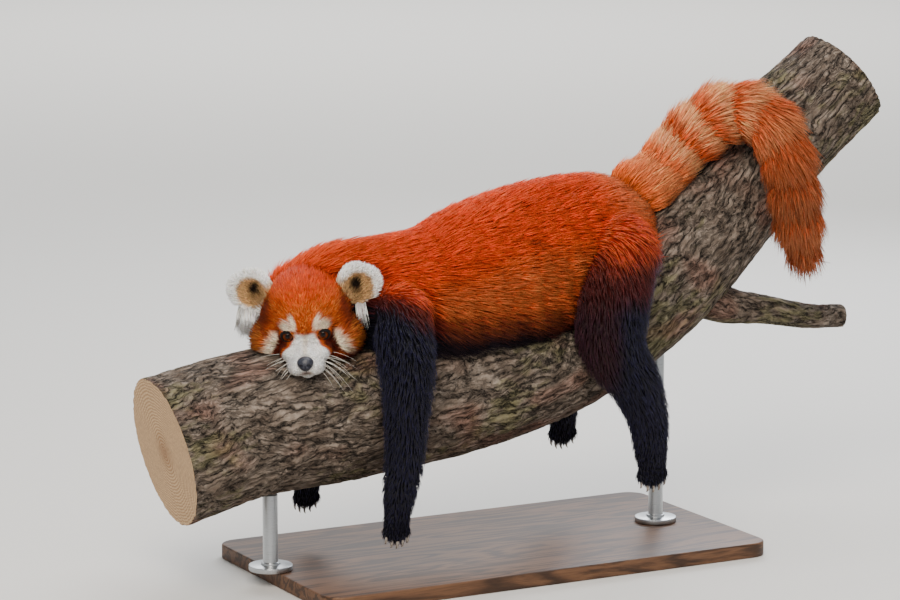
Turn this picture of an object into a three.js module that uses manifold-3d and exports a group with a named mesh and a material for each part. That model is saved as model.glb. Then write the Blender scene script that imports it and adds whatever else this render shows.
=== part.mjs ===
// A life-size red panda draped over a cut length of branch, which a plain display stand holds.
// Millimetres, +Z up, origin at the middle of the base's underside. The head points to -X, the left flank to -Y.
import * as THREE from "three";
import { mergeVertices } from "three/addons/utils/BufferGeometryUtils.js";
import Module from "manifold-3d";

const wasm = await Module();
wasm.setup();
const { Manifold, Mesh: ManifoldMesh } = wasm;
const V = (x, y, z) => new THREE.Vector3(x, y, z);

// Driving sizes.
const gap = 0.3; // left between pieces that touch
const facet = 0.15; // faces flatter than this are joined
const locksSeed = 11;
// Each coat: how deep the locks stand over the core, and a lock's size. rows run along the limb between two places,
// and each row has its locks spread between two angles, in degrees from the left side round over the top.
const coats = {
  trunk: { depth: 11, rows: 5, span: [0.2, 0.88], each: 6, arc: [-28, 208], length: 112, width: 72, thick: 11 },
  neck: { depth: 11, rows: 1, span: [0.03, 0.03], each: 5, arc: [0, 180], length: 66, width: 52, thick: 11 },
  tail: { depth: 13, rows: 8, span: [0.08, 0.9], each: 3, arc: [0, 240], length: 68, width: 48, thick: 11 },
  leg: { depth: 6, rows: 1, span: [0.16, 0.16], each: 3, arc: [40, 150], length: 70, width: 36, thick: 8 },
};
const baseSize = { length: 600, width: 320, thick: 18, corner: 24 };
const rod = { radius: 9, flangeRadius: 26, flangeThick: 6, xs: { front: -300, rear: 232 } };
const pawToes = 5;
const headAt = V(-262, -24, 307);
const headTurn = { yaw: 28, pitch: 10, roll: 3.5 }; // degrees: yaw from -Y towards -X, nose down, left side up
const eye = { x: 20.5, y: 4, z: 29.5, radius: 7.6, lid: 1.7 };
const nosePad = { y: -17, z: 72, wide: 9.6, tall: 8, deep: 8.5 };

const rad = (degrees) => (degrees * Math.PI) / 180;

// Turns any closed three.js geometry into a solid.
function solid(geometry) {
  const bare = new THREE.BufferGeometry();
  const from = geometry.index ? geometry.toNonIndexed() : geometry;
  bare.setAttribute("position", from.getAttribute("position"));
  const merged = mergeVertices(bare, 1e-4);
  return new Manifold(
    new ManifoldMesh({
      numProp: 3,
      vertProperties: new Float32Array(merged.attributes.position.array),
      triVerts: new Uint32Array(merged.index.array),
    }),
  );
}

// Rings of points joined into one closed skin; each ring has the same number of points.
function ringSolid(rings, firstPole, lastPole) {
  const n = rings[0].length;
  const points = rings.flat().concat([firstPole, lastPole]);
  const index = [];
  const first = points.length - 2;
  const last = points.length - 1;
  for (let i = 0; i < n; i++) {
    const j = (i + 1) % n;
    index.push(first, j, i);
    for (let k = 0; k + 1 < rings.length; k++) {
      const a = k * n + i;
      const b = k * n + j;
      index.push(a, b, b + n, a, b + n, a + n);
    }
    const top = (rings.length - 1) * n;
    index.push(last, top + i, top + j);
  }
  const made = new Manifold(
    new ManifoldMesh({
      numProp: 3,
      vertProperties: new Float32Array(points.flatMap((p) => [p.x, p.y, p.z])),
      triVerts: new Uint32Array(index),
    }),
  );
  if (made.volume() > 0) return made;
  for (let i = 0; i < index.length; i += 3) [index[i], index[i + 1]] = [index[i + 1], index[i]];
  return new Manifold(
    new ManifoldMesh({
      numProp: 3,
      vertProperties: new Float32Array(points.flatMap((p) => [p.x, p.y, p.z])),
      triVerts: new Uint32Array(index),
    }),
  );
}

// The same draw of random numbers every time.
function draws(seed) {
  let s = seed;
  return () => {
    s = (s * 1664525 + 1013904223) % 4294967296;
    return s / 4294967296;
  };
}

const lerp = (a, b, t) => a + (b - a) * t;

// A body or limb: sections strung along a smooth line. A station holds its place, half width, half height above and
// below the line (or one radius r), and how boxy its lower half is.
class Limb {
  constructor(stations, { sides = 16, steps = 14, upward = V(0, 0, 1), capFirst = 0.6, capLast = 0.6 } = {}) {
    this.curve = new THREE.CatmullRomCurve3(stations.map((s) => V(...s.at)), false, "centripetal");
    this.stations = stations;
    this.sides = sides;
    this.steps = steps;
    this.caps = [capFirst, capLast];
    const samples = 60;
    let up = upward.clone();
    this.ups = [];
    for (let i = 0; i <= samples; i++) {
      const along = this.curve.getTangent(i / samples);
      up = up.clone().addScaledVector(along, -up.dot(along)).normalize();
      this.ups.push(up);
    }
  }
  frame(t) {
    const c = Math.min(1, Math.max(0, t));
    const at = this.curve.getPoint(c);
    const along = this.curve.getTangent(c);
    const k = c * (this.ups.length - 1);
    const i = Math.min(this.ups.length - 2, Math.floor(k));
    const up = this.ups[i].clone().lerp(this.ups[i + 1], k - i);
    up.addScaledVector(along, -up.dot(along)).normalize();
    const side = along.clone().cross(up);
    at.addScaledVector(along, (t - c) * this.curve.getLength());
    return { at, along, up, side };
  }
  // Half sizes at t, where t runs evenly from station to station.
  sizes(t) {
    const k = Math.min(1, Math.max(0, t)) * (this.stations.length - 1);
    const i = Math.min(this.stations.length - 2, Math.floor(k));
    const f = (k - i) * (k - i) * (3 - 2 * (k - i));
    const read = (s) => ({ wide: s.wide ?? s.r, above: s.above ?? s.r, below: s.below ?? s.r, boxy: s.boxy ?? 2 });
    const a = read(this.stations[i]);
    const b = read(this.stations[i + 1]);
    return Object.fromEntries(Object.keys(a).map((key) => [key, lerp(a[key], b[key], f)]));
  }
  // A point of the surface at t and angle (0 is the side, a quarter turn is up), with the coat grown by grow.
  surface(t, angle, grow = 0, shrink = 1) {
    const { at, up, side } = this.frame(t);
    const s = this.sizes(t);
    const c = Math.cos(angle);
    const h = Math.sin(angle);
    const power = h < 0 ? 2 / s.boxy : 1;
    const out = side
      .clone()
      .multiplyScalar(Math.sign(c) * Math.abs(c) ** power * (s.wide + grow) * shrink)
      .addScaledVector(up, Math.sign(h) * Math.abs(h) ** power * ((h < 0 ? s.below : s.above) + grow) * shrink);
    return at.add(out);
  }
  // The closed body between two places of the line. Round ends where the limb ends, flat ones where it is parted.
  core({ grow = 0, from = 0, to = 1, inset = 0 } = {}) {
    const rings = [];
    const ring = (t, shift, shrink) => {
      const { along } = this.frame(t);
      const points = [];
      for (let i = 0; i < this.sides; i++) {
        const angle = (i / this.sides) * 2 * Math.PI;
        points.push(this.surface(t, angle, grow - inset, shrink).addScaledVector(along, shift));
      }
      rings.push(points);
    };
    const depth = (t, share) => {
      const s = this.sizes(t);
      return (Math.min(s.wide, s.above) - inset) * share + grow;
    };
    const first = from > 0 ? grow : depth(0, this.caps[0]);
    const last = to < 1 ? grow : depth(1, this.caps[1]);
    const count = Math.max(2, Math.round(this.steps * (to - from)));
    if (from === 0) ring(0, -first * 0.8, 0.6);
    for (let i = 0; i <= count; i++) {
      const t = lerp(from, to, i / count);
      const shift = i === 0 && from > 0 ? -grow : i === count && to < 1 ? grow : 0;
      ring(t, shift, 1);
    }
    if (to === 1) ring(1, last * 0.8, 0.6);
    const start = this.frame(from);
    const end = this.frame(to);
    return ringSolid(
      rings,
      start.at.addScaledVector(start.along, -first),
      end.at.addScaledVector(end.along, last),
    );
  }
  // A flat tapered lock rooted in the core at (t, angle). It lies along the limb and its tip comes out by depth.
  lockAt({ t, angle, length, width, thick, depth, swing }, grow = 0) {
    const share = length / this.curve.getLength();
    const spot = (s) => this.surface(t + s * share, angle + swing * s, lerp(-7 - depth, 0, s ** 0.7));
    const spine = [0, 0.36, 0.7, 1].map(spot);
    const across = this.surface(t + 0.3 * share, angle + 0.05).sub(this.surface(t + 0.3 * share, angle - 0.05));
    return lock(spine, across.normalize(), width, thick, grow);
  }
  // All the locks of a coat whose roots lie between from and to.
  locks(coat, { from = 0, to = 1, grow = 0 } = {}) {
    const made = [];
    const draw = draws(locksSeed);
    for (let row = 0; row < coat.rows; row++) {
      const rowAt = lerp(...coat.span, coat.rows > 1 ? row / (coat.rows - 1) : 0);
      for (let k = 0; k < coat.each; k++) {
        const place = (k + (row % 2) * 0.5 + (draw() - 0.5) * 0.3) / (coat.each - 0.5);
        const angle = rad(lerp(...coat.arc, place));
        const t = rowAt + (draw() - 0.5) * 0.03;
        const length = coat.length * lerp(0.85, 1.1, draw());
        const width = coat.width * lerp(0.9, 1.1, draw());
        const swing = (draw() - 0.5) * 0.16;
        if (t >= from && t < to)
          made.push(this.lockAt({ t, angle, length, width, thick: coat.thick, depth: coat.depth, swing }, grow));
      }
    }
    return made;
  }
  // Core and locks as one body.
  coated(coat, { from = 0, to = 1, grow = 0 } = {}) {
    return union([this.core({ from, to, grow, inset: coat.depth }), ...this.locks(coat, { from, to, grow })]);
  }
}

// A flat tapered lock along four points, root first.
function lock(spine, across, width, thick, grow = 0) {
  const rings = [0.8, 1, 0.7].map((share, i) => {
    const along = spine[i + 1].clone().sub(spine[Math.max(0, i - 1)]).normalize();
    const side = across.clone().addScaledVector(along, -across.dot(along)).normalize();
    const out = along.clone().cross(side);
    const w = (width / 2) * share + grow;
    const h = (thick / 2) * (1 - i * 0.2) + grow;
    return [[w, 0], [0, h], [-w, 0], [0, -h]].map(([a, b]) =>
      spine[i].clone().addScaledVector(side, a).addScaledVector(out, b),
    );
  });
  const tip = spine[3].clone().addScaledVector(spine[3].clone().sub(spine[2]).normalize(), grow * 2);
  const root = spine[0].clone().addScaledVector(spine[1].clone().sub(spine[0]).normalize(), -grow);
  return ringSolid(rings, root, tip);
}

// Smooth union of two distances.
function blend(a, b, k) {
  const h = Math.max(0, k - Math.abs(a - b)) / k;
  return Math.min(a, b) - (h * h * k) / 4;
}

// Distance to an ellipsoid, near enough for blending. c is its centre and r its half sizes.
function ellipsoid(p, c, r) {
  const q = V(p.x - c[0], p.y - c[1], p.z - c[2]);
  const k0 = Math.hypot(q.x / r[0], q.y / r[1], q.z / r[2]);
  const k1 = Math.hypot(q.x / r[0] ** 2, q.y / r[1] ** 2, q.z / r[2] ** 2);
  return k1 < 1e-9 ? -Math.min(...r) : (k0 * (k0 - 1)) / k1;
}

// A closed skin round centre that follows a field of blended lumps, with its points spread evenly by direction.
function lumpSolid(lumps, softness, centre, detail, grow = 0) {
  const sphere = new THREE.IcosahedronGeometry(1, detail);
  const place = sphere.getAttribute("position");
  const field = (p) => lumps.reduce((d, lump) => blend(d, ellipsoid(p, lump.c, lump.r), softness), 1e3) - grow;
  for (let i = 0; i < place.count; i++) {
    const direction = V().fromBufferAttribute(place, i).normalize();
    let low = 0;
    let high = 200;
    for (let k = 0; k < 26; k++) {
      const middle = (low + high) / 2;
      const p = direction.clone().multiplyScalar(middle).add(centre);
      if (field(p) < 0) low = middle;
      else high = middle;
    }
    direction.multiplyScalar(low).add(centre);
    place.setXYZ(i, direction.x, direction.y, direction.z);
  }
  return solid(sphere);
}

function ball(centre, r, detail = 3, turn = null) {
  const g = new THREE.IcosahedronGeometry(1, detail);
  g.scale(...(Array.isArray(r) ? r : [r, r, r]));
  if (turn) g.applyMatrix4(turn);
  g.translate(centre.x, centre.y, centre.z);
  return solid(g);
}

const union = (list) => Manifold.union(list);
const largest = (made) => made.decompose().sort((a, b) => b.volume() - a.volume())[0];

// The branch's middle line and thickness: it rises to the right, with a swelling at its fork.
const branch = new Limb(
  [
    { at: [-432, 4, 172], r: 90 },
    { at: [-325, 0, 195], r: 88 },
    { at: [-205, 0, 203], r: 87 },
    { at: [-60, 0, 218], r: 86 },
    { at: [60, 0, 243], r: 84 },
    { at: [160, 2, 286], r: 83 },
    { at: [238, 4, 340], r: 84 },
    { at: [312, 4, 404], r: 79 },
    { at: [400, 2, 486], r: 71 },
    { at: [500, 0, 566], r: 67 },
  ],
  { sides: 24, steps: 18, capFirst: 0.04, capLast: 0.04 },
);
// The thinner limb that forks off it.
const sideBranch = new Limb(
  [
    { at: [258, -10, 316], r: 34 },
    { at: [312, -26, 292], r: 25 },
    { at: [372, -34, 281], r: 19 },
    { at: [430, -40, 269], r: 17 },
    { at: [478, -42, 266], r: 16 },
  ],
  { sides: 14, steps: 10, capFirst: 0.1, capLast: 0.05 },
);
const perch = branch.core();
const forkLimb = sideBranch.core().subtract(branch.core({ grow: gap }));

// The panda's trunk, from behind the head to the rump. Its lower half is boxy where it spreads over the branch.
const trunk = new Limb(
  [
    { at: [-246, 18, 324], wide: 54, above: 62, below: 50, boxy: 2.4 },
    { at: [-204, 16, 332], wide: 68, above: 74, below: 66, boxy: 2.8 },
    { at: [-152, 6, 336], wide: 80, above: 77, below: 82, boxy: 3.2 },
    { at: [-88, 0, 342], wide: 92, above: 80, below: 92, boxy: 3.4 },
    { at: [-20, 0, 356], wide: 98, above: 92, below: 102, boxy: 3.6 },
    { at: [52, 0, 372], wide: 100, above: 94, below: 106, boxy: 3.6 },
    { at: [118, 0, 388], wide: 98, above: 84, below: 100, boxy: 3.2 },
    { at: [170, 0, 406], wide: 86, above: 72, below: 84, boxy: 2.8 },
    { at: [206, 0, 424], wide: 66, above: 58, below: 64, boxy: 2.4 },
  ],
  { sides: 20, steps: 14, capFirst: 0.7, capLast: 0.45 },
);
const neckEnd = 0.19; // where neck and torso meet along the trunk

// The tail leaves the rump, climbs with the branch and hangs over its near side.
const tail = new Limb(
  [
    { at: [150, -5, 402], r: 54 },
    { at: [181, -5, 426], r: 54 },
    { at: [214, -8, 450], r: 48 },
    { at: [252, -15, 490], r: 43 },
    { at: [282, -35, 523], r: 41 },
    { at: [308, -60, 535], r: 38 },
    { at: [327, -90, 525], r: 37 },
    { at: [341, -110, 492], r: 34 },
    { at: [351, -118, 449], r: 31 },
    { at: [359, -118, 406], r: 27 },
    { at: [370, -115, 367], r: 18 },
  ],
  { sides: 12, steps: 24, capFirst: 0.4, capLast: 1 },
);
const tailParts = { tail_base: [0, 0.31], tail_middle: [0.31, 0.53], tail_bend: [0.53, 0.74], tail_tip: [0.74, 1] };

// The legs hang at both sides of the branch. side is -1 for the left, which the viewer sees, and 1 for the right.
const legStations = {
  front_leg_left: [
    { at: [-160, -66, 322], r: 40 },
    { at: [-168, -92, 286], r: 38 },
    { at: [-175, -111, 248], r: 34 },
    { at: [-178, -114, 207], r: 29 },
    { at: [-179, -112, 165], r: 26 },
    { at: [-183, -108, 123], r: 22 },
    { at: [-185, -107, 106], r: 19 },
  ],
  front_leg_right: [
    { at: [-155, 62, 332], r: 38 },
    { at: [-172, 92, 290], r: 36 },
    { at: [-180, 111, 248], r: 33 },
    { at: [-186, 115, 207], r: 29 },
    { at: [-192, 112, 165], r: 25 },
    { at: [-198, 107, 123], r: 21 },
    { at: [-200, 105, 106], r: 19 },
  ],
  hind_leg_left: [
    { at: [128, -66, 372], r: 60 },
    { at: [108, -92, 318], r: 52 },
    { at: [106, -106, 268], r: 43 },
    { at: [134, -112, 219], r: 34 },
    { at: [152, -110, 176], r: 27 },
    { at: [157, -110, 146], r: 24 },
  ],
  hind_leg_right: [
    { at: [128, 66, 372], r: 58 },
    { at: [110, 92, 318], r: 50 },
    { at: [110, 108, 268], r: 42 },
    { at: [134, 112, 222], r: 32 },
    { at: [152, 108, 186], r: 25 },
    { at: [157, 104, 158], r: 21 },
  ],
};
const legs = Object.fromEntries(
  Object.entries(legStations).map(([name, stations]) => [
    name,
    new Limb(stations, { sides: 12, steps: 9, upward: V(-1, 0, 0), capFirst: 0.5, capLast: 0.3 }),
  ]),
);
// Each paw follows its leg's end: at is its middle, and along the way it hangs.
const paws = {
  front_paw_left: { at: V(-187, -107, 88), along: V(-0.05, 0, -1), side: -1, wide: 38, long: 40, thick: 27 },
  front_paw_right: { at: V(-202, 105, 88), along: V(-0.05, 0.02, -1), side: 1, wide: 38, long: 40, thick: 27 },
  hind_foot_left: { at: V(158, -111, 124), along: V(0.02, 0, -1), side: -1, wide: 44, long: 48, thick: 28 },
  hind_foot_right: { at: V(157, 104, 136), along: V(0, 0.03, -1), side: 1, wide: 42, long: 48, thick: 28 },
};

// A curved claw from root to point, bending towards the sole.
function claw(root, along, dorsal, size, grow) {
  const across = along.clone().cross(dorsal);
  const line = [
    [-3, 0.4],
    [3.4, 1],
    [7.4, -0.4],
    [10.4, -3.6],
  ].map(([a, d]) => root.clone().addScaledVector(along, a * size).addScaledVector(dorsal, d * size));
  const rings = [2.1, 1.9, 1.2].map((r, k) =>
    [0, 1, 2, 3].map((i) => {
      const angle = (i / 4) * 2 * Math.PI;
      const w = Math.cos(angle) * (r * 0.75 * size + grow);
      const h = Math.sin(angle) * (r * size + grow);
      return line[k].clone().addScaledVector(across, w).addScaledVector(dorsal, h);
    }),
  );
  return ringSolid(rings, line[0].clone().addScaledVector(along, -grow), line[3]);
}

// Palm, five toes side by side and a claw on each.
function paw({ at, along, side, wide, long, thick }, grow = 0) {
  const a = along.clone().normalize();
  const dorsal = V(0, side, 0).addScaledVector(a, -a.y * side).normalize();
  const across = a.clone().cross(dorsal);
  const turn = new THREE.Matrix4().makeBasis(across, a, dorsal);
  const pieces = [ball(at, [wide / 2 + grow, long / 2 + grow, thick / 2 + grow], 2, turn)];
  const toe = wide * 0.19;
  for (let i = 0; i < pawToes; i++) {
    const s = (i - (pawToes - 1) / 2) / ((pawToes - 1) / 2);
    const reach = long * 0.36 + (1 - s * s) * toe * 0.8;
    const spot = at.clone().addScaledVector(across, s * wide * 0.37).addScaledVector(a, reach);
    spot.addScaledVector(dorsal, (1 - s * s) * 1.5);
    pieces.push(ball(spot, [toe * 0.72 + grow, toe * 1.3 + grow, toe * 0.84 + grow], 0, turn));
    const root = spot.clone().addScaledVector(a, toe * 0.95).addScaledVector(dorsal, 1);
    pieces.push(claw(root, a, dorsal, 1, grow));
  }
  return union(pieces);
}

// The head is shaped in its own frame (x to the panda's left, y up, z out of the nose) and then set in place.
const headPose = (() => {
  const { yaw, pitch, roll } = headTurn;
  const [cy, sy, cp, sp] = [Math.cos(rad(yaw)), Math.sin(rad(yaw)), Math.cos(rad(pitch)), Math.sin(rad(pitch))];
  const forward = V(-sy * cp, -cy * cp, -sp);
  const up = V(-sy * sp, -cy * sp, cp);
  const left = V(cy, -sy, 0);
  const m = new THREE.Matrix4().makeBasis(left, up, forward);
  m.multiply(new THREE.Matrix4().makeRotationZ(rad(roll)));
  return m.setPosition(headAt);
})();
const inPlace = (made) => made.transform(headPose.elements);

const headLumps = [
  { c: [0, 12, -12], r: [54, 52, 56] }, // cranium
  { c: [0, 16, 16], r: [38, 27, 25] }, // brow
  { c: [35, -10, 1], r: [26, 30, 36] }, // cheeks, under their ruff
  { c: [-35, -10, 1], r: [26, 30, 36] },
  { c: [0, -20, 42], r: [24, 18, 31] }, // muzzle
  { c: [10, -24, 55], r: [14, 12, 17] }, // lips
  { c: [-10, -24, 55], r: [14, 12, 17] },
  { c: [0, -34, 44], r: [14, 9, 20] }, // chin
  { c: [0, -7, 46], r: [11, 9, 24] }, // bridge of the nose
];
const eyeAt = (side) => V(side * eye.x, eye.y, eye.z);

function tube(points, r, sides = 6) {
  const curve = new THREE.CatmullRomCurve3(points.map((p) => V(...p)));
  const count = points.length * 3;
  const rings = [];
  let up = V(0.1, 0.2, 1);
  for (let k = 0; k <= count; k++) {
    const at = curve.getPoint(k / count);
    const along = curve.getTangent(k / count);
    up = up.clone().addScaledVector(along, -up.dot(along)).normalize();
    const side = along.clone().cross(up);
    const ring = [];
    for (let i = 0; i < sides; i++) {
      const angle = (i / sides) * 2 * Math.PI;
      const p = at.clone().addScaledVector(side, Math.cos(angle) * r);
      ring.push(p.addScaledVector(up, Math.sin(angle) * r));
    }
    rings.push(ring);
  }
  return ringSolid(rings, curve.getPoint(0), curve.getPoint(1));
}

// The nose pad with its nostrils and the groove between them.
const nose = (grow = 0) =>
  ball(V(0, nosePad.y, nosePad.z), [nosePad.wide + grow, nosePad.tall + grow, nosePad.deep + grow], 2);
const nostrils = union(
  [-1, 1].map((side) =>
    ball(V(side * 4.6, nosePad.y - 0.6, nosePad.z + nosePad.deep - 1.2), [2.1, 1.5, 3], 1),
  ).concat([
    tube(
      [
        [0, nosePad.y + 1, nosePad.z + nosePad.deep + 0.2],
        [0, nosePad.y - 4, nosePad.z + nosePad.deep - 1],
        [0, nosePad.y - 9, nosePad.z + nosePad.deep - 5],
      ],
      0.8,
    ),
  ]),
);
const mouth = union([
  tube([[0, -24, 74], [0, -29, 74.5], [0, -34, 71]], 1),
  tube([[0, -33.5, 72], [8, -36, 66], [16, -36, 56], [23, -32, 44]], 1),
  tube([[0, -33.5, 72], [-8, -36, 66], [-16, -36, 56], [-23, -32, 44]], 1),
]);

// The ruff: locks that sweep back from the cheeks, on both sides.
const cheekLocks = (grow = 0) =>
  [-1, 1].flatMap((side) =>
    [0, 1, 2, 3, 4].map((i) => {
      const y = 12 - i * 11;
      const out = side * (66 - Math.abs(i - 1.6) * 3);
      const spine = [V(side * 38, y, 6), V(side * 52, y - 3, -2), V(lerp(side * 52, out, 0.6), y - 7, -10)];
      return lock([...spine, V(out, y - 13, -19)], V(0, 1, 0), 19, 8, grow);
    }),
  );

const skull = (grow = 0) => {
  const lids = [-1, 1].map((side) => ball(eyeAt(side), eye.radius + eye.lid + grow, 3));
  return union([lumpSolid(headLumps, 12, V(0, -4, 8), 7, grow), ...lids, ...cheekLocks(grow)]);
};
const openings = union(
  [-1, 1].flatMap((side) => [
    ball(eyeAt(side), eye.radius + gap, 3),
    ball(eyeAt(side).add(V(side * 1.2, 0, 8)), [6.6, 4.9, 9], 2),
  ]),
);
const headLocal = skull().subtract(openings).subtract(mouth).subtract(nose(gap));

// A rounded ear on a slanted axis, hollowed from the front.
function ear(side, grow = 0) {
  const axis = V(side * 0.72, 0.69, 0);
  const across = V(side * 0.69, -0.72, 0).multiplyScalar(side);
  const front = across.clone().cross(axis);
  const turn = new THREE.Matrix4().makeBasis(across, axis, front);
  const at = V(side * 60, 40, -24);
  const shell = ball(at, [25 + grow, 29 + grow, 13 + grow], 3, turn);
  const cup = ball(at.clone().add(V(0, 0, 10)), [19, 22, 13], 3, turn);
  // Long locks hang from the ear's outer edge.
  const fringe = [
    [V(side * 68, 30, -25), V(side * 76, 14, -24), V(side * 79, 0, -23), V(side * 79, -17, -22)],
    [V(side * 62, 24, -22), V(side * 68, 11, -20), V(side * 70, 0, -19), V(side * 69, -12, -18)],
  ].map((spine) => lock(spine, V(1, 0, 0), 15, 8, grow));
  return { solid: union([shell, ...fringe]), cup };
}

// Each piece is cut clear of those before it. A piece's cutter is the same piece grown by the gap.
const perchCutter = branch.core({ grow: gap });
const headCutter = inPlace(union([skull(gap), ear(1, gap).solid, ear(-1, gap).solid]));

const parts = {};
parts.branch = perch;
parts.side_branch = forkLimb;
parts.head = inPlace(headLocal).subtract(perchCutter).simplify(facet / 2);
for (const [name, side] of [["left", 1], ["right", -1]]) {
  parts[`eye_${name}`] = inPlace(ball(eyeAt(side), eye.radius, 3));
  const { solid: whole, cup } = ear(side);
  parts[`ear_${name}`] = inPlace(whole.subtract(cup).subtract(skull(gap))).subtract(perchCutter);
}
parts.nose = inPlace(nose().subtract(nostrils));
let before = union([perchCutter, headCutter, sideBranch.core({ grow: gap })]);
const place = (name, made, cutter) => {
  parts[name] = largest(made.subtract(before)).simplify(facet);
  before = before.add(cutter);
};
place("torso", trunk.coated(coats.trunk, { from: neckEnd }), trunk.coated(coats.trunk, { from: neckEnd, grow: gap }));
place("neck", trunk.coated(coats.neck, { to: neckEnd }), trunk.coated(coats.neck, { to: neckEnd, grow: gap }));
for (const [name, limb] of Object.entries(legs)) {
  const foot = name.replace("hind_leg", "hind_foot").replace("front_leg", "front_paw");
  place(foot, paw(paws[foot]), paw(paws[foot], gap));
  place(name, limb.coated(coats.leg), limb.coated(coats.leg, { grow: gap }));
}
for (const [name, [from, to]] of Object.entries(tailParts))
  place(name, tail.coated(coats.tail, { from, to }), tail.coated(coats.tail, { from, to, grow: gap }));

// The stand: a flat base with rounded corners and edges, and two rods that end at the branch.
const plate = new THREE.Shape();
const [bx, by, bc] = [baseSize.length / 2, baseSize.width / 2, baseSize.corner];
plate.moveTo(bx - bc, -by);
plate.absarc(bx - bc, -by + bc, bc, -Math.PI / 2, 0);
plate.absarc(bx - bc, by - bc, bc, 0, Math.PI / 2);
plate.absarc(-bx + bc, by - bc, bc, Math.PI / 2, Math.PI);
plate.absarc(-bx + bc, -by + bc, bc, Math.PI, Math.PI * 1.5);
plate.closePath();
const edge = 2;
const plateGeometry = new THREE.ExtrudeGeometry(plate, {
  depth: baseSize.thick - 2 * edge,
  bevelThickness: edge,
  bevelSize: edge,
  bevelOffset: -edge,
  bevelSegments: 2,
  curveSegments: 4,
});
plateGeometry.translate(0, 0, edge);
parts.stand_base = solid(plateGeometry);
for (const [name, x] of Object.entries(rod.xs)) {
  const floor = baseSize.thick + gap;
  const profile = [
    [0, floor],
    [rod.flangeRadius, floor],
    [rod.flangeRadius, floor + rod.flangeThick - 1.5],
    [rod.flangeRadius - 1.5, floor + rod.flangeThick],
    [rod.radius + 3, floor + rod.flangeThick],
    [rod.radius, floor + rod.flangeThick + 3],
    [rod.radius, 330],
    [0, 330],
  ].map(([r, z]) => new THREE.Vector2(r, z));
  const post = new THREE.LatheGeometry(profile, 24);
  post.rotateX(Math.PI / 2);
  post.translate(x, 0, 0);
  parts[`stand_rod_${name}`] = largest(solid(post).subtract(perchCutter));
}

const finishes = {
  branch: { color: "#7c6a5b", roughness: 0.95, metalness: 0 },
  side_branch: { color: "#8b7d6f", roughness: 0.95, metalness: 0 },
  head: { color: "#c08a5e", roughness: 0.9, metalness: 0 },
  ear_left: { color: "#e6dccb", roughness: 0.9, metalness: 0 },
  ear_right: { color: "#e6dccb", roughness: 0.9, metalness: 0 },
  eye_left: { color: "#3a2216", roughness: 0.12, metalness: 0 },
  eye_right: { color: "#3a2216", roughness: 0.12, metalness: 0 },
  nose: { color: "#20222a", roughness: 0.45, metalness: 0 },
  neck: { color: "#a9461f", roughness: 0.9, metalness: 0 },
  torso: { color: "#b5491f", roughness: 0.9, metalness: 0 },
  front_leg_left: { color: "#1d1a1f", roughness: 0.9, metalness: 0 },
  front_leg_right: { color: "#1d1a1f", roughness: 0.9, metalness: 0 },
  front_paw_left: { color: "#19171c", roughness: 0.9, metalness: 0 },
  front_paw_right: { color: "#19171c", roughness: 0.9, metalness: 0 },
  hind_leg_left: { color: "#2a1e20", roughness: 0.9, metalness: 0 },
  hind_leg_right: { color: "#2a1e20", roughness: 0.9, metalness: 0 },
  hind_foot_left: { color: "#1b181d", roughness: 0.9, metalness: 0 },
  hind_foot_right: { color: "#1b181d", roughness: 0.9, metalness: 0 },
  tail_base: { color: "#b9652f", roughness: 0.9, metalness: 0 },
  tail_middle: { color: "#c9824a", roughness: 0.9, metalness: 0 },
  tail_bend: { color: "#c98a55", roughness: 0.9, metalness: 0 },
  tail_tip: { color: "#8a4e33", roughness: 0.9, metalness: 0 },
  stand_base: { color: "#5b4636", roughness: 0.5, metalness: 0 },
  stand_rod_front: { color: "#8d8f92", roughness: 0.35, metalness: 1 },
  stand_rod_rear: { color: "#8d8f92", roughness: 0.35, metalness: 1 },
};

const panda = new THREE.Group();
panda.name = "red_panda";
for (const [name, made] of Object.entries(parts)) {
  const mesh = largest(made).getMesh();
  const geometry = new THREE.BufferGeometry();
  geometry.setAttribute("position", new THREE.BufferAttribute(new Float32Array(mesh.vertProperties), 3));
  geometry.setIndex(new THREE.BufferAttribute(new Uint32Array(mesh.triVerts), 1));
  const node = new THREE.Mesh(geometry, new THREE.MeshStandardMaterial(finishes[name]));
  node.name = name;
  panda.add(node);
}
export default panda;
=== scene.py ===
# Red panda draped over a cut branch on a display stand: skin, fur, face, claws, bark and stand.
import bpy
import bmesh
import math
import numpy as np
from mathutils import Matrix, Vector, noise


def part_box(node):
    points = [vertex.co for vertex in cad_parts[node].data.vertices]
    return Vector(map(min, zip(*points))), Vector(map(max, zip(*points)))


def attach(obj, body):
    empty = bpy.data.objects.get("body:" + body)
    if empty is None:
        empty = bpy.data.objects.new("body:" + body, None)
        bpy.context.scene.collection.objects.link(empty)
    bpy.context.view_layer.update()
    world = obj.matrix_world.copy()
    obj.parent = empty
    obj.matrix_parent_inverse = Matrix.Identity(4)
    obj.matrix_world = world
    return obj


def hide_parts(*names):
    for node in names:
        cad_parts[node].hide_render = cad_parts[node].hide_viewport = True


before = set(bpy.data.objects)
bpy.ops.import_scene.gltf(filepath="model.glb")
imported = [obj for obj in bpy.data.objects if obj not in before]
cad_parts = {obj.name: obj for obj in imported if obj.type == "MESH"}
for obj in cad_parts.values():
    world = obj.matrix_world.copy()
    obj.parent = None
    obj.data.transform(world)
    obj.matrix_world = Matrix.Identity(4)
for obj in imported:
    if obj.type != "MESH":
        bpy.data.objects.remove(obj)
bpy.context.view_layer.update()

mm = 0.001
rng = np.random.default_rng(2024)


def say(stage):
    print("panda:", stage)


def deselectAll():
    for other in bpy.context.selected_objects:
        other.select_set(False)


def makeActive(piece):
    deselectAll()
    piece.select_set(True)
    bpy.context.view_layer.objects.active = piece
    return piece


def finishPiece(piece, name, nodes=()):
    makeActive(piece)
    bpy.ops.object.transform_apply(location=True, rotation=True, scale=True)
    piece.name = name
    piece.data.name = name
    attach(piece, "root")
    if nodes:
        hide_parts(*nodes)
    return piece


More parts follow.
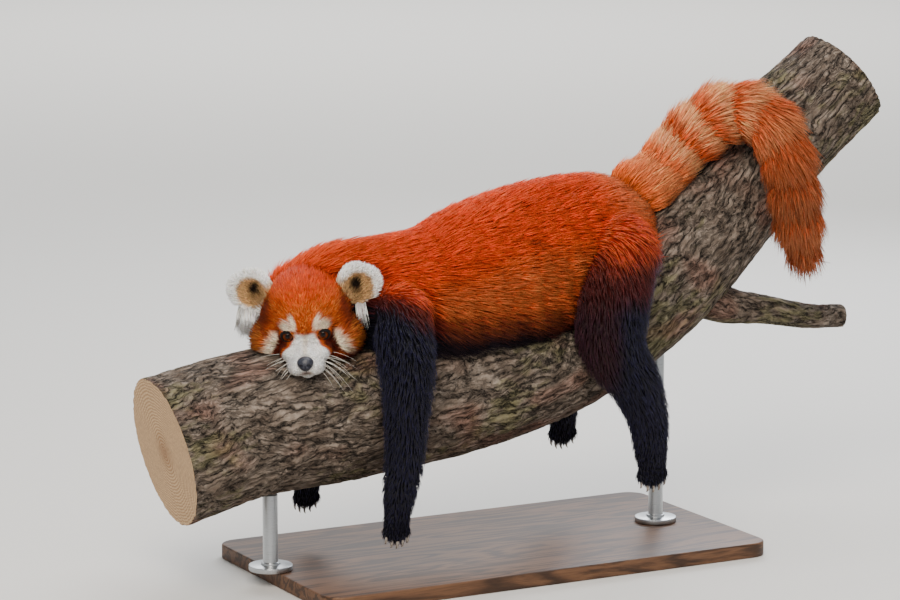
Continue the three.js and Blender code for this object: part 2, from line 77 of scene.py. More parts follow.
def inEditMode(piece, operator, **settings):
    # runs a mesh operator on the whole piece
    makeActive(piece)
    bpy.ops.object.mode_set(mode="EDIT")
    bpy.ops.mesh.select_all(action="SELECT")
    operator(**settings)
    bpy.ops.object.mode_set(mode="OBJECT")


def reshape(piece, kind, **settings):
    makeActive(piece)
    modifier = piece.modifiers.new("reshape", kind)
    for key, value in settings.items():
        setattr(modifier, key, value)
    bpy.ops.object.modifier_apply(modifier=modifier.name)


def unitSphere(name, segments, rings):
    deselectAll()
    bpy.ops.mesh.primitive_uv_sphere_add(segments=segments, ring_count=rings, radius=1)
    piece = bpy.context.object
    piece.name = name
    return piece, pointsOf(piece.data)


def pointsOf(mesh):
    return np.array([v.co for v in mesh.vertices])


def movePoints(piece, placed):
    store(piece.data.vertices, "co", placed * mm)
    piece.data.update()


def store(data, key, values):
    data.foreach_set(key, np.ascontiguousarray(values, np.float32).ravel())


def fetch(data, key, kind, width):
    values = np.empty(len(data) * width, kind)
    data.foreach_get(key, values)
    return values.reshape(-1, width)


def storeTone(mesh, tone):
    layer = mesh.color_attributes.new("Tone", "FLOAT_COLOR", "POINT")
    store(layer.data, "color", np.hstack([tone, np.ones((len(tone), 1))]))


# colours and material nodes

def linear(hexColour):
    channels = [int(hexColour[i:i + 2], 16) / 255 for i in (1, 3, 5)]
    return [c / 12.92 if c <= 0.04045 else ((c + 0.055) / 1.055) ** 2.4 for c in channels] + [1.0]


class surfaceNodes:
    # a material in the making: each method adds a node and gives the output that the next ones take
    def __init__(self, name, **sockets):
        self.material = bpy.data.materials.new(name)
        self.material.use_nodes = True
        self.tree = self.material.node_tree
        self.shader = self.tree.nodes["Principled BSDF"]
        self.join(self.shader, sockets)

    def join(self, node, sockets):
        for key, value in sockets.items():
            numbered = key[0] == "i" and key[1:].isdigit()  # i0, i1 ... are sockets by number
            socket = node.inputs[int(key[1:]) if numbered else key.replace("_", " ")]
            if isinstance(value, bpy.types.NodeSocket):
                self.tree.links.new(value, socket)
            else:
                socket.default_value = value

    def add(self, kind, output, settings=None, **sockets):
        node = self.tree.nodes.new("ShaderNode" + kind)
        for key, value in (settings or {}).items():
            setattr(node, key, value)
        self.join(node, sockets)
        return node.outputs[output]

    def place(self):
        return self.add("TexCoord", "Object")

    def trait(self, name, output="Fac"):
        return self.add("Attribute", output, dict(attribute_name=name))

    def noise(self, vector, scale, detail=2.0, output="Fac", **sockets):
        return self.add("TexNoise", output, Vector=vector, Scale=scale, Detail=detail, **sockets)

    def stretch(self, vector, *scale):
        return self.add("Mapping", "Vector", Vector=vector, Scale=scale)

    def remap(self, value, low, high, least=0.0, most=1.0):
        return self.add("MapRange", "Result", Value=value, i1=low, i2=high, i3=least, i4=most)

    def maths(self, operation, *values):
        numbered = {f"i{k}": value for k, value in enumerate(values)}
        return self.add("Math", "Value", dict(operation=operation), **numbered)

    def vectors(self, operation, *values):
        numbered = {f"i{k}": value for k, value in enumerate(values)}
        return self.add("VectorMath", "Vector", dict(operation=operation), **numbered)

    def ramp(self, source, *stops):
        output = self.add("ValToRGB", "Color", Fac=source)
        elements = output.node.color_ramp.elements
        while len(elements) < len(stops):
            elements.new(0.5)
        for element, (position, colour) in zip(elements, stops):
            element.position = position
            element.color = linear(colour)
        return output

    def blend(self, share, base, colour):
        return self.add("Mix", 2, dict(data_type="RGBA"), i0=share, i6=base, i7=linear(colour))

    def shaded(self, colour, shade):
        toned = self.add("VectorMath", "Vector", dict(operation="SCALE"), i0=colour, Scale=shade)
        self.join(self.shader, dict(Base_Color=toned))

    def bump(self, height, strength, distance, **settings):
        normal = self.add("Bump", "Normal", settings, Height=height, Strength=strength, Distance=distance)
        self.join(self.shader, dict(Normal=normal))


# camera: the photograph's view from the panda's left, a little above

view = dict(azimuth=-28.0, elevation=9.5, distance=4.0, target=(-0.060, 0.0, 0.322), lens=133.33)
camera = bpy.data.objects.new("studioCamera", bpy.data.cameras.new("studioCamera"))
bpy.context.collection.objects.link(camera)
azimuth, elevation = math.radians(view["azimuth"]), math.radians(view["elevation"])
backward = Vector((math.sin(azimuth) * math.cos(elevation), -math.cos(azimuth) * math.cos(elevation),
                   math.sin(elevation)))
camera.location = Vector(view["target"]) + backward * view["distance"]
camera.rotation_euler = backward.to_track_quat("Z", "Y").to_euler()
camera.data.lens = view["lens"]
camera.data.sensor_width = 36
camera.data.clip_end = 60
bpy.context.scene.camera = camera
say("camera is set")

# the body's lines: x, y, z, half width, half height above and below the line, in mm, out to the tips of the coat

trunk = dict(
    points=[(-246, 18, 324, 54, 62, 50), (-204, 16, 332, 68, 74, 66), (-152, 6, 336, 80, 77, 82),
            (-88, 0, 342, 92, 80, 92), (-20, 0, 356, 98, 92, 102), (52, 0, 372, 100, 94, 106),
            (118, 0, 388, 98, 84, 100), (146, 0, 399, 79, 67, 77), (166, 0, 409, 55, 51, 53)],
    coat=14, balls=30)
tail = dict(
    points=[(150, -5, 402, 54), (181, -5, 426, 54), (214, -8, 450, 48), (252, -15, 490, 43), (282, -35, 523, 41),
            (308, -60, 535, 39), (327, -90, 525, 38), (341, -110, 492, 36), (351, -118, 449, 34),
            (359, -118, 406, 32), (370, -115, 369, 25)],
    coat=22, balls=46, endCoat=17, bands=0.095,
    # pale rings: place along the tail and half width, as shares of its length
    rings=[(0.15, 0.03), (0.245, 0.022), (0.335, 0.02), (0.43, 0.02), (0.525, 0.02), (0.62, 0.02)])
legs = {
    "frontLeft": dict(
        points=[(-160, -66, 322, 40), (-168, -92, 286, 38), (-175, -111, 248, 34), (-178, -114, 207, 29),
                (-179, -112, 165, 26), (-183, -108, 123, 22), (-186, -107, 96, 18)],
        coat=9, balls=18, endCoat=3),
    "frontRight": dict(
        points=[(-155, 62, 332, 38), (-172, 92, 290, 36), (-180, 111, 248, 33), (-186, 115, 207, 29),
                (-192, 112, 165, 25), (-198, 107, 123, 21), (-201, 105, 96, 18)],
        coat=9, balls=18, endCoat=3),
    "hindLeft": dict(
        points=[(128, -66, 372, 60), (108, -92, 318, 52), (106, -106, 268, 43), (134, -112, 219, 34),
                (152, -110, 176, 27), (157, -110, 134, 22)],
        coat=11, balls=18, endCoat=3),
    "hindRight": dict(
        points=[(128, 66, 372, 58), (110, 92, 318, 50), (110, 108, 268, 42), (134, 112, 222, 32),
                (152, 108, 186, 25), (157, 104, 146, 21)],
        coat=11, balls=18, endCoat=3),
}
paws = {
    "frontLeft": dict(at=(-187, -107, 88), along=(-0.05, 0, -1), side=-1, wide=38, long=40, thick=27),
    "frontRight": dict(at=(-202, 105, 88), along=(-0.05, 0.02, -1), side=1, wide=38, long=40, thick=27),
    "hindLeft": dict(at=(158, -111, 124), along=(0.02, 0, -1), side=-1, wide=44, long=48, thick=28),
    "hindRight": dict(at=(157, 104, 136), along=(0, 0.03, -1), side=1, wide=42, long=48, thick=28),
}
head = dict(
    at=(-262, -24, 307), yaw=28, pitch=10, roll=3.5,
    # x to the panda's left, y up and z out of the nose, in mm: centre, half sizes, depth of coat
    lumps=[((0, 12, -12), (54, 52, 56), 8), ((0, 16, 16), (38, 27, 25), 5), ((37, -10, 0), (29, 31, 37), 10),
           ((-37, -10, 0), (29, 31, 37), 10), ((0, -20, 42), (24, 18, 31), 2.5), ((10, -24, 55), (14, 12, 17), 2),
           ((-10, -24, 55), (14, 12, 17), 2), ((18, -13, 36), (14, 12, 22), 2.5),
           ((-18, -13, 36), (14, 12, 22), 2.5), ((0, -34, 44), (14, 9, 20), 3), ((0, -7, 46), (11, 9, 24), 3)])
eye = dict(x=20.5, y=4, z=29.5, radius=7.6, lidBall=8.2)
ear = dict(x=61, y=38.5, z=-24, wide=24, tall=29, thick=11, axis=(0.40, 0.92, 0), dish=13.5, rim=0.84, flare=0.16)
nosePad = dict(at=(0, -16.5, 71.5), sizes=(9.4, 8.8, 8.6), groove=0.7,
               # dents that make up a nostril: x, y, size and depth
               nostril=((4.4, -0.2, 1.5, 3.4), (6.0, -1.4, 1.3, 2.6), (7.4, -2.6, 1.1, 1.8)))
branch = dict(
    points=[(-432, 4, 172, 90), (-325, 0, 195, 88), (-205, 0, 203, 87), (-60, 0, 218, 86), (60, 0, 243, 84),
            (160, 2, 286, 83), (238, 4, 340, 84), (312, 4, 404, 79), (400, 2, 486, 71), (500, 0, 566, 67)])
sideBranch = dict(
    points=[(258, -10, 316, 34), (312, -26, 292, 25), (372, -34, 281, 19), (430, -40, 269, 17), (478, -42, 266, 16)])


def smoothLine(points, count):
    p = np.array(points, float)
    spans = len(p) - 1
    padded = np.vstack([2 * p[0] - p[1], p, 2 * p[-1] - p[-2]])
    t = np.linspace(0, spans, count)
    i = np.minimum(t.astype(int), spans - 1)
    f = (t - i)[:, None]
    a, b, c, d = padded[i], padded[i + 1], padded[i + 2], padded[i + 3]
    return 0.5 * (2 * b + (c - a) * f + (2 * a - 5 * b + 4 * c - d) * f ** 2 + (3 * b - a - 3 * c + d) * f ** 3)


def unit(v):
    v = np.asarray(v, float)
    return v / np.maximum(np.linalg.norm(v, axis=-1, keepdims=True), 1e-9)


def headBasis():
    yaw, pitch, roll = (math.radians(head[k]) for k in ("yaw", "pitch", "roll"))
    forward = np.array([-math.sin(yaw) * math.cos(pitch), -math.cos(yaw) * math.cos(pitch), -math.sin(pitch)])
    up = np.array([-math.sin(yaw) * math.sin(pitch), -math.cos(yaw) * math.sin(pitch), math.cos(pitch)])
    left = np.array([math.cos(yaw), -math.sin(yaw), 0])
    turnedLeft = left * math.cos(roll) + up * math.sin(roll)
    turnedUp = up * math.cos(roll) - left * math.sin(roll)
    return np.array([turnedLeft, turnedUp, forward])


headAxes = headBasis()
headAt = np.array(head["at"], float)


def fromHead(local):
    return headAt + np.asarray(local, float) @ headAxes


def toHead(points):
    return (points - headAt) @ headAxes.T


# every ball of flesh: centre, half sizes, axes, which part it belongs to, how far along it, and the way its hair lies

flesh = []


def addFlesh(centre, sizes, axes, part, along, lie):
    flesh.append(dict(centre=np.array(centre, float), sizes=np.maximum(sizes, 3.0), axes=np.array(axes, float),
                      part=part, along=along, lie=np.array(lie, float)))


def layTrunk():
    line = smoothLine(trunk["points"], trunk["balls"])
    ways = unit(np.gradient(line[:, :3], axis=0))
    for k, (row, way) in enumerate(zip(line, ways)):
        t = k / (len(line) - 1)
        across = unit(np.cross(way, (0, 0, 1)))
        up = np.cross(across, way)
        wide, above, below = row[3:] - trunk["coat"]
        sizes = (min(wide, above), wide, (above + below) / 2 * 0.96)
        addFlesh(row[:3] + up * (above - below) / 2, sizes, (way, across, up), "trunk", t, way)
        for side in (-1, 1):  # the belly spreads to both sides over the branch
            spot = row[:3] + across * side * wide * 0.47 - up * below * 0.46
            addFlesh(spot, (wide * 0.5, wide * 0.5, below * 0.5), (way, across, up), "trunk", t, way)


def layRound(plan, part):
    line = smoothLine(plan["points"], plan["balls"])
    ways = unit(np.gradient(line[:, :3], axis=0))
    for k, (row, way) in enumerate(zip(line, ways)):
        t = k / (len(line) - 1)
        radius = row[3] - (plan["coat"] * (1 - t) + plan["endCoat"] * t)
        across = unit(np.cross(way, (0.3, 0.9, 0.2)))
        addFlesh(row[:3], (radius,) * 3, (way, across, np.cross(way, across)), part, t, way)


def pawAxes(plan):
    down = unit(plan["along"])
    back = np.array([0, plan["side"], 0], float)
    back = unit(back - down * down.dot(back))
    return np.cross(down, back), down, back


def toeSpots(plan):
    across, down, back = pawAxes(plan)
    toe = plan["wide"] * 0.19
    for k in range(5):
        s = (k - 2) / 2
        arch = 1 - s * s
        yield (np.array(plan["at"]) + across * s * plan["wide"] * 0.37
               + down * (plan["long"] * 0.36 + arch * toe * 0.8) + back * arch * 1.5), toe


def layPaw(plan, part):
    across, down, back = pawAxes(plan)
    sizes = (plan["wide"] / 2 - 2.5, plan["long"] / 2 - 2, plan["thick"] / 2 - 2.5)
    addFlesh(plan["at"], sizes, (across, down, back), part, 1, down)
    for spot, toe in toeSpots(plan):
        addFlesh(spot, (toe * 0.62, toe * 1.1, toe * 0.72), (across, down, back), part, 1, down)


def layHead():
    for centre, sizes, coat in head["lumps"]:
        addFlesh(fromHead(centre), np.array(sizes) - coat, headAxes, "head", 0, -headAxes[2])
    for side in (-1, 1):  # the lids stand round over the eyeball
        spot = fromHead((side * eye["x"], eye["y"], eye["z"] - 1.5))
        addFlesh(spot, (eye["lidBall"],) * 3, headAxes, "head", 0, -headAxes[2])


layTrunk()
layRound(tail, "tail")
for limbName, limb in legs.items():
    layRound(limb, limbName)
    layPaw(paws[limbName], limbName)
layHead()


def earAxes(side):
    axis = unit(np.array(ear["axis"]) * (side, 1, 1))
    across = unit(np.cross(axis, (0, 0, 1)))
    return np.array([across, axis, np.cross(across, axis)]) @ headAxes


def earCentre(side):
    return fromHead((side * ear["x"], ear["y"], ear["z"]))


def branchGap(points):
    # for each point: how far outside the branch it is, and the way straight out
    line = smoothLine(branch["points"], 160)
    best = np.full(len(points), 1e9)
    out = np.zeros((len(points), 3))
    for row in line:
        away = points - row[:3]
        distance = np.linalg.norm(away, axis=1) - row[3]
        closer = distance < best
        best[closer] = distance[closer]
        out[closer] = away[closer]
    return best, unit(out)


# the skin: balls joined by a voxel remesh, smoothed, dished at the ears and pressed onto the branch

def meshFrom(name, vertices, faces):
    mesh = bpy.data.meshes.new(name)
    mesh.from_pydata([tuple(v) for v in vertices], [], [tuple(int(i) for i in f) for f in faces])
    piece = bpy.data.objects.new(name, mesh)
    bpy.context.collection.objects.link(piece)
    return piece


def rowFaces(rows, around, first=0, closed=False):
    # quads between neighbouring rows, each a ring of points
    faces = []
    for k in range(rows if closed else rows - 1):
        here, after = first + k * around, first + (k + 1) % rows * around
        faces += [(here + j, here + (j + 1) % around, after + (j + 1) % around, after + j) for j in range(around)]
    return faces


def smoothSolid(piece, material):
    # one smooth closed piece of one material, its faces all turned outward
    piece.data.materials.append(material)
    inEditMode(piece, bpy.ops.mesh.normals_make_consistent, inside=False)
    bpy.ops.object.shade_smooth()


skinMesh = dict(voxel=0.0028, softening=5, clear=1.0)  # voxel in m, rounds of smoothing, mm kept off the branch


def earBowl(ball):
    # broad and blunt above, narrow at the foot and dished in front
    bowl = ball * (ear["wide"], ear["tall"], ear["thick"])
    reach = np.hypot(bowl[:, 0] / ear["wide"], bowl[:, 1] / ear["tall"])
    bowl[:, 0] *= 1 + ear["flare"] * bowl[:, 1] / ear["tall"]
    square = (ball[:, 0] ** 4 + ball[:, 1] ** 4) ** 0.25 / np.maximum(np.hypot(*ball[:, :2].T), 1e-6)
    bowl[:, :2] /= np.where(ball[:, 1] > 0, np.maximum(square, 0.8) ** 0.5, 1)[:, None]
    front = bowl[:, 2] > 0
    bowl[front, 2] -= ear["dish"] * np.clip(1 - (reach[front] / ear["rim"]) ** 2, 0, 1) ** 0.7
    return bowl


def makeSkin():
    sphere, ball = unitSphere("fleshBall", 28, 18)
    ballFaces = [list(p.vertices) for p in sphere.data.polygons]
    bpy.data.objects.remove(sphere)
    lumps = [lump["centre"] + (ball * lump["sizes"]) @ lump["axes"] for lump in flesh]
    lumps += [earCentre(side) + earBowl(ball) @ earAxes(side) for side in (-1, 1)]
    faces = [[i + k * len(ball) for i in f] for k in range(len(lumps)) for f in ballFaces]
    skin = meshFrom("skin", np.vstack(lumps) * mm, faces)
    reshape(skin, "REMESH", mode="VOXEL", voxel_size=skinMesh["voxel"])
    reshape(skin, "SMOOTH", factor=0.5, iterations=skinMesh["softening"])
    place = pointsOf(skin.data) / mm
    gap, outward = branchGap(place)
    pressed = gap < skinMesh["clear"]
    place[pressed] += outward[pressed] * (skinMesh["clear"] - gap[pressed])[:, None]
    movePoints(skin, place)
    bpy.ops.object.shade_smooth()
    return skin


skin = makeSkin()
say(f"skin has {len(skin.data.polygons)} faces")

# markings: one set of colours for skin and coat alike

tones = {name: np.array(linear(colour)[:3]) for name, colour in dict(
    back="#c83407", backTip="#e87236", nape="#c53a0c", flank="#b0421a", flankTip="#df8c4e", maroon="#4c130f",
    fringeTip="#21121a", black="#0a0914", blackTip="#2a2852", violet="#746c8c", forehead="#a8430f",
    foreheadTip="#e8943c", crown="#bf3a04", brow="#963a12", cheek="#ad5522", cheekLow="#541a10", white="#fbf8f3",
    cream="#e3cfb6", tear="#551a0b", stain="#b59c70", lip="#806053", rump="#dd6224", ring="#c34512", pale="#efb680",
    tailEnd="#833518", tailUnderShade="#43170d", earTan="#bd9566", earHoleShade="#140c07").items()}
# height in mm, along the body, where the red coat gives way to black
blackLine = dict(x=[-246, -212, -168, -129, -95, 60, 110, 160], z=[330, 345, 320, 298, 293, 294, 306, 345])


def overBlackLine(points):
    return points[:, 2] - np.interp(points[:, 0], blackLine["x"], blackLine["z"])


def soft(value, low, high):
    t = np.clip((value - low) / (high - low), 0, 1)
    return t * t * (3 - 2 * t)


def blot(q, centre, sizes, turn=0.0, edge=0.25):
    # 1 inside an oval on the face and 0 outside it, in the head's x and y
    c, s = math.cos(math.radians(turn)), math.sin(math.radians(turn))
    dx, dy = q[:, 0] - centre[0], q[:, 1] - centre[1]
    reach = np.hypot((dx * c + dy * s) / sizes[0], (dy * c - dx * s) / sizes[1])
    return 1 - soft(reach, 1 - edge, 1 + edge)


def plainTone(name, count):
    return np.repeat(tones[name][None], count, 0)


def layered(base, *layers):
    # each layer: where it shows, from 0 to 1, its tone, and what the tone is multiplied by
    for mask, tone, *share in layers:
        base = base + (tones[tone] * (share[0] if share else 1) - base) * np.asarray(mask)[..., None]
    return base


def faceColours(q, wobble):
    y, z = q[:, 1], q[:, 2]
    m = q + wobble[:, None] * 1.1
    m[:, 0] = np.abs(m[:, 0])
    x = m[:, 0]
    flat = 1 - soft(z, 40, 48)  # keeps the tear marks off the sides of the muzzle
    halfWidth = 10.5 + 15.5 * soft(-y, -6, 18) + 8 * soft(z, 44, 52)
    muzzle = (1 - soft(x, halfWidth - 2, halfWidth + 2.5)) * (1 - soft(m[:, 1] - 0.22 * x, 3.0, 7.5)) * soft(z, 16, 26)
    return layered(
        plainTone("forehead", len(q)),
        (soft(y, 30, 56), "crown"),
        (blot(m, (0, 20), (6, 17)) * 0.7, "brow"),
        (soft(x, 44, 54) * (1 - soft(y, 8, 36)), "cheek"),
        (blot(m, (50, 24), (8, 24), 12) * 0.8, "tear", 1.3),
        (soft(-z, 8, 34) * soft(y, 12, 30), "nape"),
        (soft(-y, 17, 30), "cheekLow"),
        (soft(-y, 28, 38), "black"),
        (soft(-z, -6, 20) * soft(-y, -16, 4), "black"),
        (blot(m, (30.5, -9), (7.5, 15), 24) * flat, "tear"),
        (blot(m, (33, 4), (3.5, 7)) * 0.7 * flat, "tear"),
        (blot(m, (20.5, 16.5), (9.5, 6.5), -12), "cream", 0.9),
        (blot(m, (14.5, 20), (4.2, 9), -14), "cream"),
        (blot(m, (18, 22), (0.9, 6), -16, 0.5) * 0.6, "brow"),
        (blot(m, (43, -8.5), (5.8, 17), 29, 0.2), "cream", 1.08),
        (muzzle, "white"),
        (blot(m, (0, 0), (3.2, 8), 0, 0.5) * 0.4, "stain"),
        (blot(m, (0, -30.5), (7, 3.6), 0, 0.5) * 0.85 * soft(z, 30, 44), "lip"))


def earColours(q, facing, wobble):
    a = q * np.where(q[:, :1] > 0, 1.0, (-1.0, 1.0, 1.0)) - (ear["x"], ear["y"], ear["z"])
    axis = unit(ear["axis"])
    high = a @ axis
    outward = a @ unit(np.cross(axis, (0, 0, 1)))
    spot = np.stack([outward, high], 1) + wobble[:, None] * 1.8
    reach = np.hypot(outward / ear["wide"], high / ear["tall"])
    front = soft(facing, -0.15, 0.15)
    return layered(
        plainTone("white", len(q)),
        (soft(-outward, 2, 14) * soft(-high, -8, 8), "earTan"),
        ((1 - soft(reach + wobble * 0.05, 0.56, 0.80)) * front, "earTan"),
        # painted shadow below the ear's hole: the tan darkened to 0.45
        (blot(spot, (-4, -10), (9, 12), 0, 0.5) * front * 0.7, "earTan", 0.45),
        # painted shade in the ear's hole
        (blot(spot, (-4.5, 2), (6, 9), 14, 0.6) * front, "earHoleShade"),
        (soft(-facing, 0.1, 0.45) * (1 - soft(reach, 0.72, 0.95)), "maroon"))


def trunkColours(p, up, over):
    c = layered(plainTone("flank", len(p)), (soft(up, -0.05, 0.55), "back"), (soft(-p[:, 0], 130, 200), "nape"))
    t = layered(c * 1.2, (0.45, "backTip"), ((1 - soft(up, -0.1, 0.5)) * 0.6, "flankTip"))
    rump = soft(p[:, 0], 95, 175) * soft(p[:, 2], 375, 435)
    maroon, black = 1 - soft(over, 8, 34), 1 - soft(over, -12, 10)
    return (layered(c, (rump * 0.9, "rump"), (maroon * 0.9, "maroon"), (black, "black")),
            layered(t, (rump * 0.6, "pale"), (maroon * 0.7, "maroon"), (black, "fringeTip")))


def legColours(name, p, over, wobble):
    # black, reddening where the leg joins the body; the hind legs get a painted violet highlight behind, and painted
    # shade in the crease at the front of the haunch
    warm, red = soft(over, -10, 12), soft(over, 10, 40)
    behind = creaseShade = np.zeros(len(p))
    if "hind" in name:
        lift = p[:, 2] + wobble * 8 - (p[:, 0] - 120) * 0.15
        warm, red = soft(lift, 308, 350), soft(lift, 350, 402)
        # painted highlight: a violet gleam on the tips at the back of the hind leg
        behind = soft(p[:, 0], 142, 172) * soft(lift, 240, 280) * (1 - soft(lift, 345, 385)) * 0.75
        # painted shade in the crease at the front of the haunch, where it meets the belly
        creaseShade = (1 - soft(p[:, 0], 80, 106)) * 0.6
    return (layered(plainTone("black", len(p)), (warm, "maroon"), (red, "back"), (creaseShade, "maroon", 0.5)),
            layered(plainTone("blackTip", len(p)), (warm, "maroon", 1.4), (red, "backTip"), (behind, "violet"),
                    (creaseShade, "maroon")))


def tailColours(a, down):
    ring = np.max([1 - soft(np.abs(a - centre), half * 0.3, half * 2.1) for centre, half in tail["rings"]], axis=0)
    ring *= (0.66 - 0.5 * soft(a, 0.42, 0.66)) * (0.3 + 0.7 * soft(a, 0.13, 0.24))
    # painted shade: darker where the far half of the tail faces down
    under = soft(down, 0.3, 0.95) * soft(a, 0.3, 0.5) * 0.6
    c = layered(plainTone("ring", len(a)), (1 - soft(a, 0.12, 0.3), "rump"), (soft(a, 0.5, 0.8) * 0.85, "tailEnd"))
    return (layered(c, (ring, "pale"), (under, "tailUnderShade")),
            layered(c * 1.15, (0.30, "pale"), (ring, "pale"), (under * 0.8, "tailUnderShade")))


def furColours(part, along, place, normal, local, wobble):
    # colour of the coat at the middle and at the tip of each tuft, before the tuft's own variation
    colour, tip = np.zeros((len(place), 3)), np.zeros((len(place), 3))
    over = overBlackLine(place + wobble[:, None] * (9, 0, 7))
    body, tailed, faced, eared = (part == name for name in ("trunk", "tail", "head", "ear"))
    colour[body], tip[body] = trunkColours(place[body], normal[body][:, 2], over[body])
    for name in legs:
        limb = part == name
        colour[limb], tip[limb] = legColours(name, place[limb], over[limb], wobble[limb])
    colour[tailed], tip[tailed] = tailColours(along[tailed] + wobble[tailed] * 0.012, -normal[tailed][:, 2])
    colour[faced] = tip[faced] = faceColours(local[faced], wobble[faced])
    colour[eared] = tip[eared] = earColours(local[eared], normal[eared] @ headAxes[2], wobble[eared])
    return colour, tip


# reading the skin: which part each point belongs to, how far along it and how the hair lies

reading = dict(blend=9.0, chunk=30000)  # mm over which the hair of neighbouring balls blends, and points at a time


def readFlesh(points):
    lumps = flesh + [dict(centre=earCentre(s), sizes=np.array((ear["wide"], ear["tall"], ear["thick"]), float),
                          axes=earAxes(s), part="ear", along=0.0, lie=earAxes(s)[1]) for s in (-1, 1)]
    names, balls, lies = (np.array([lump[key] for lump in lumps]) for key in ("part", "along", "lie"))
    part = np.empty(len(points), names.dtype)
    along = np.empty(len(points))
    lie = np.empty((len(points), 3))
    for start in range(0, len(points), reading["chunk"]):
        rows = slice(start, start + reading["chunk"])
        some = points[rows]
        distances = np.empty((len(some), len(lumps)), np.float32)
        for k, lump in enumerate(lumps):
            q = ((some - lump["centre"]) @ lump["axes"].T).astype(np.float32)
            k0 = np.linalg.norm(q / lump["sizes"], axis=1)
            k1 = np.linalg.norm(q / lump["sizes"] ** 2, axis=1)
            distances[:, k] = k0 * (k0 - 1) / np.maximum(k1, 1e-6)
        nearest = distances.argmin(1)
        weight = np.exp(-(distances - distances.min(1, keepdims=True)) / reading["blend"])
        same = weight * (names[None, :] == names[nearest][:, None])
        part[rows] = names[nearest]
        along[rows] = (same @ balls) / same.sum(1)
        lie[rows] = weight @ lies
    local = toHead(points)
    faced = part == "head"
    fromNose = unit(local - (0, -16, 72)) @ headAxes
    lie[faced] = fromNose[faced] * 3 + unit(lie[faced]) * 0.4
    for s in (-1, 1):
        here = (part == "ear") & (local[:, 0] * s > 0)
        lie[here] = unit(points[here] - fromHead((s * 46, 14, -24)))
    return part, along, lie, local


def markSkin():
    place = pointsOf(skin.data) / mm
    normal = np.array([v.normal for v in skin.data.vertices])
    part, along, lie, local = readFlesh(place)
    colour, tip = furColours(part, along, place, normal, local, np.zeros(len(place)))
    # painted shade under the coat: the skin takes the coat's colour darkened to 0.55, least so on the ears, where the
    # coat is thin
    storeTone(skin.data, colour * np.where(part == "ear", 0.9, 0.55)[:, None])


markSkin()
inEditMode(skin, bpy.ops.uv.smart_project, angle_limit=math.radians(66), island_margin=0.004)
skin.data.uv_layers[0].name = "OFBake"
say("skin is marked and unwrapped")

# the coat: how many tufts each part carries; mm between the points that they draw together into, how plump they are,
# how strongly they draw together, how far their tips droop, and how far they start under the skin

coat = dict(trunk=58000, tail=25000, head=32000, ear=9000, legs=22000, lumpSpacing=7.5, plump=1.0,
            pull=0.36, facePull=0.1, droop=3.0, shortDroop=0.8, tuck=1.2, piece=15000)
# painted shade: small dark patches on the back where the fur looks parted, in mm
backPartingShade = dict(sizes=(8, 8, 5), spots=[(12, -52, 441), (58, -48, 452), (138, -44, 447), (-46, -66, 404),
                                         (96, -72, 430), (-4, -80, 392), (30, 40, 452), (-70, 50, 420)])
# long white tassels from the outer foot of each ear: where they root and how they hang, in the head's own axes
tassels = dict(outside=58, low=0, high=26, behind=-6, length=31, rise=9, lie=(0.22, -1.0, 0.45))
# spots on the head that the body's fur keeps clear of, and by how much
clearSpots = [((62, 38, -16), 34), ((70, 4, -4), 22)]


def sampleSkin():
    mesh = skin.data
    mesh.calc_loop_triangles()
    corners = fetch(mesh.loop_triangles, "vertices", np.int32, 3)
    loops = fetch(mesh.loop_triangles, "loops", np.int32, 3)
    uv = fetch(mesh.uv_layers["OFBake"].data, "uv", np.float32, 2)
    place = pointsOf(mesh) / mm
    normal = np.array([v.normal for v in mesh.vertices])
    a, b, c = (place[corners[:, k]] for k in range(3))
    area = np.linalg.norm(np.cross(b - a, c - a), axis=1) / 2
    middle = (a + b + c) / 3
    part, along, lie, local = readFlesh(middle)
    legged = np.isin(part, list(legs))
    density = area * np.where(part == "head", 1 + 1.3 * soft(local[:, 2], 20, 45), 1.0)
    density *= np.where(legged, 1 + 0.6 * soft(along, 0.4, 0.8), 1.0)
    gap, out = branchGap(middle)
    facing = (normal[corners[:, 0]] * out).sum(1)
    density[(gap < 3.0) & (facing < -0.5)] = 0  # none where the belly lies on the bark
    count = 0
    for group in ("trunk", "tail", "head", "ear", "legs"):
        here = legged if group == "legs" else part == group
        density[here] *= coat[group] / density[here].sum()
        count += coat[group]
    weight = np.cumsum(density)
    picks = np.searchsorted(weight, (np.arange(count) + rng.random(count)) / count * weight[-1] * 0.999999)
    r1, r2 = rng.random(count), rng.random(count)
    flip = r1 + r2 > 1
    r1[flip], r2[flip] = 1 - r1[flip], 1 - r2[flip]
    w = np.stack([1 - r1 - r2, r1, r2], 1)

    def mix(values, index):
        return sum(values[index[picks, k]] * w[:, k:k + 1] for k in range(3))

    return mix(place, corners), unit(mix(normal, corners)), mix(uv, loops)


def smoothRandom(points, size, seed):
    # a value from -1 to 1 that drifts over a distance of size mm
    offset = Vector((seed * 17.3, seed * 5.1, seed * 9.7))
    return np.array([noise.noise(Vector(p) / size + offset) for p in points])


def coatDepth(plan, along):
    return plan["coat"] * (1 - along) + plan["endCoat"] * along


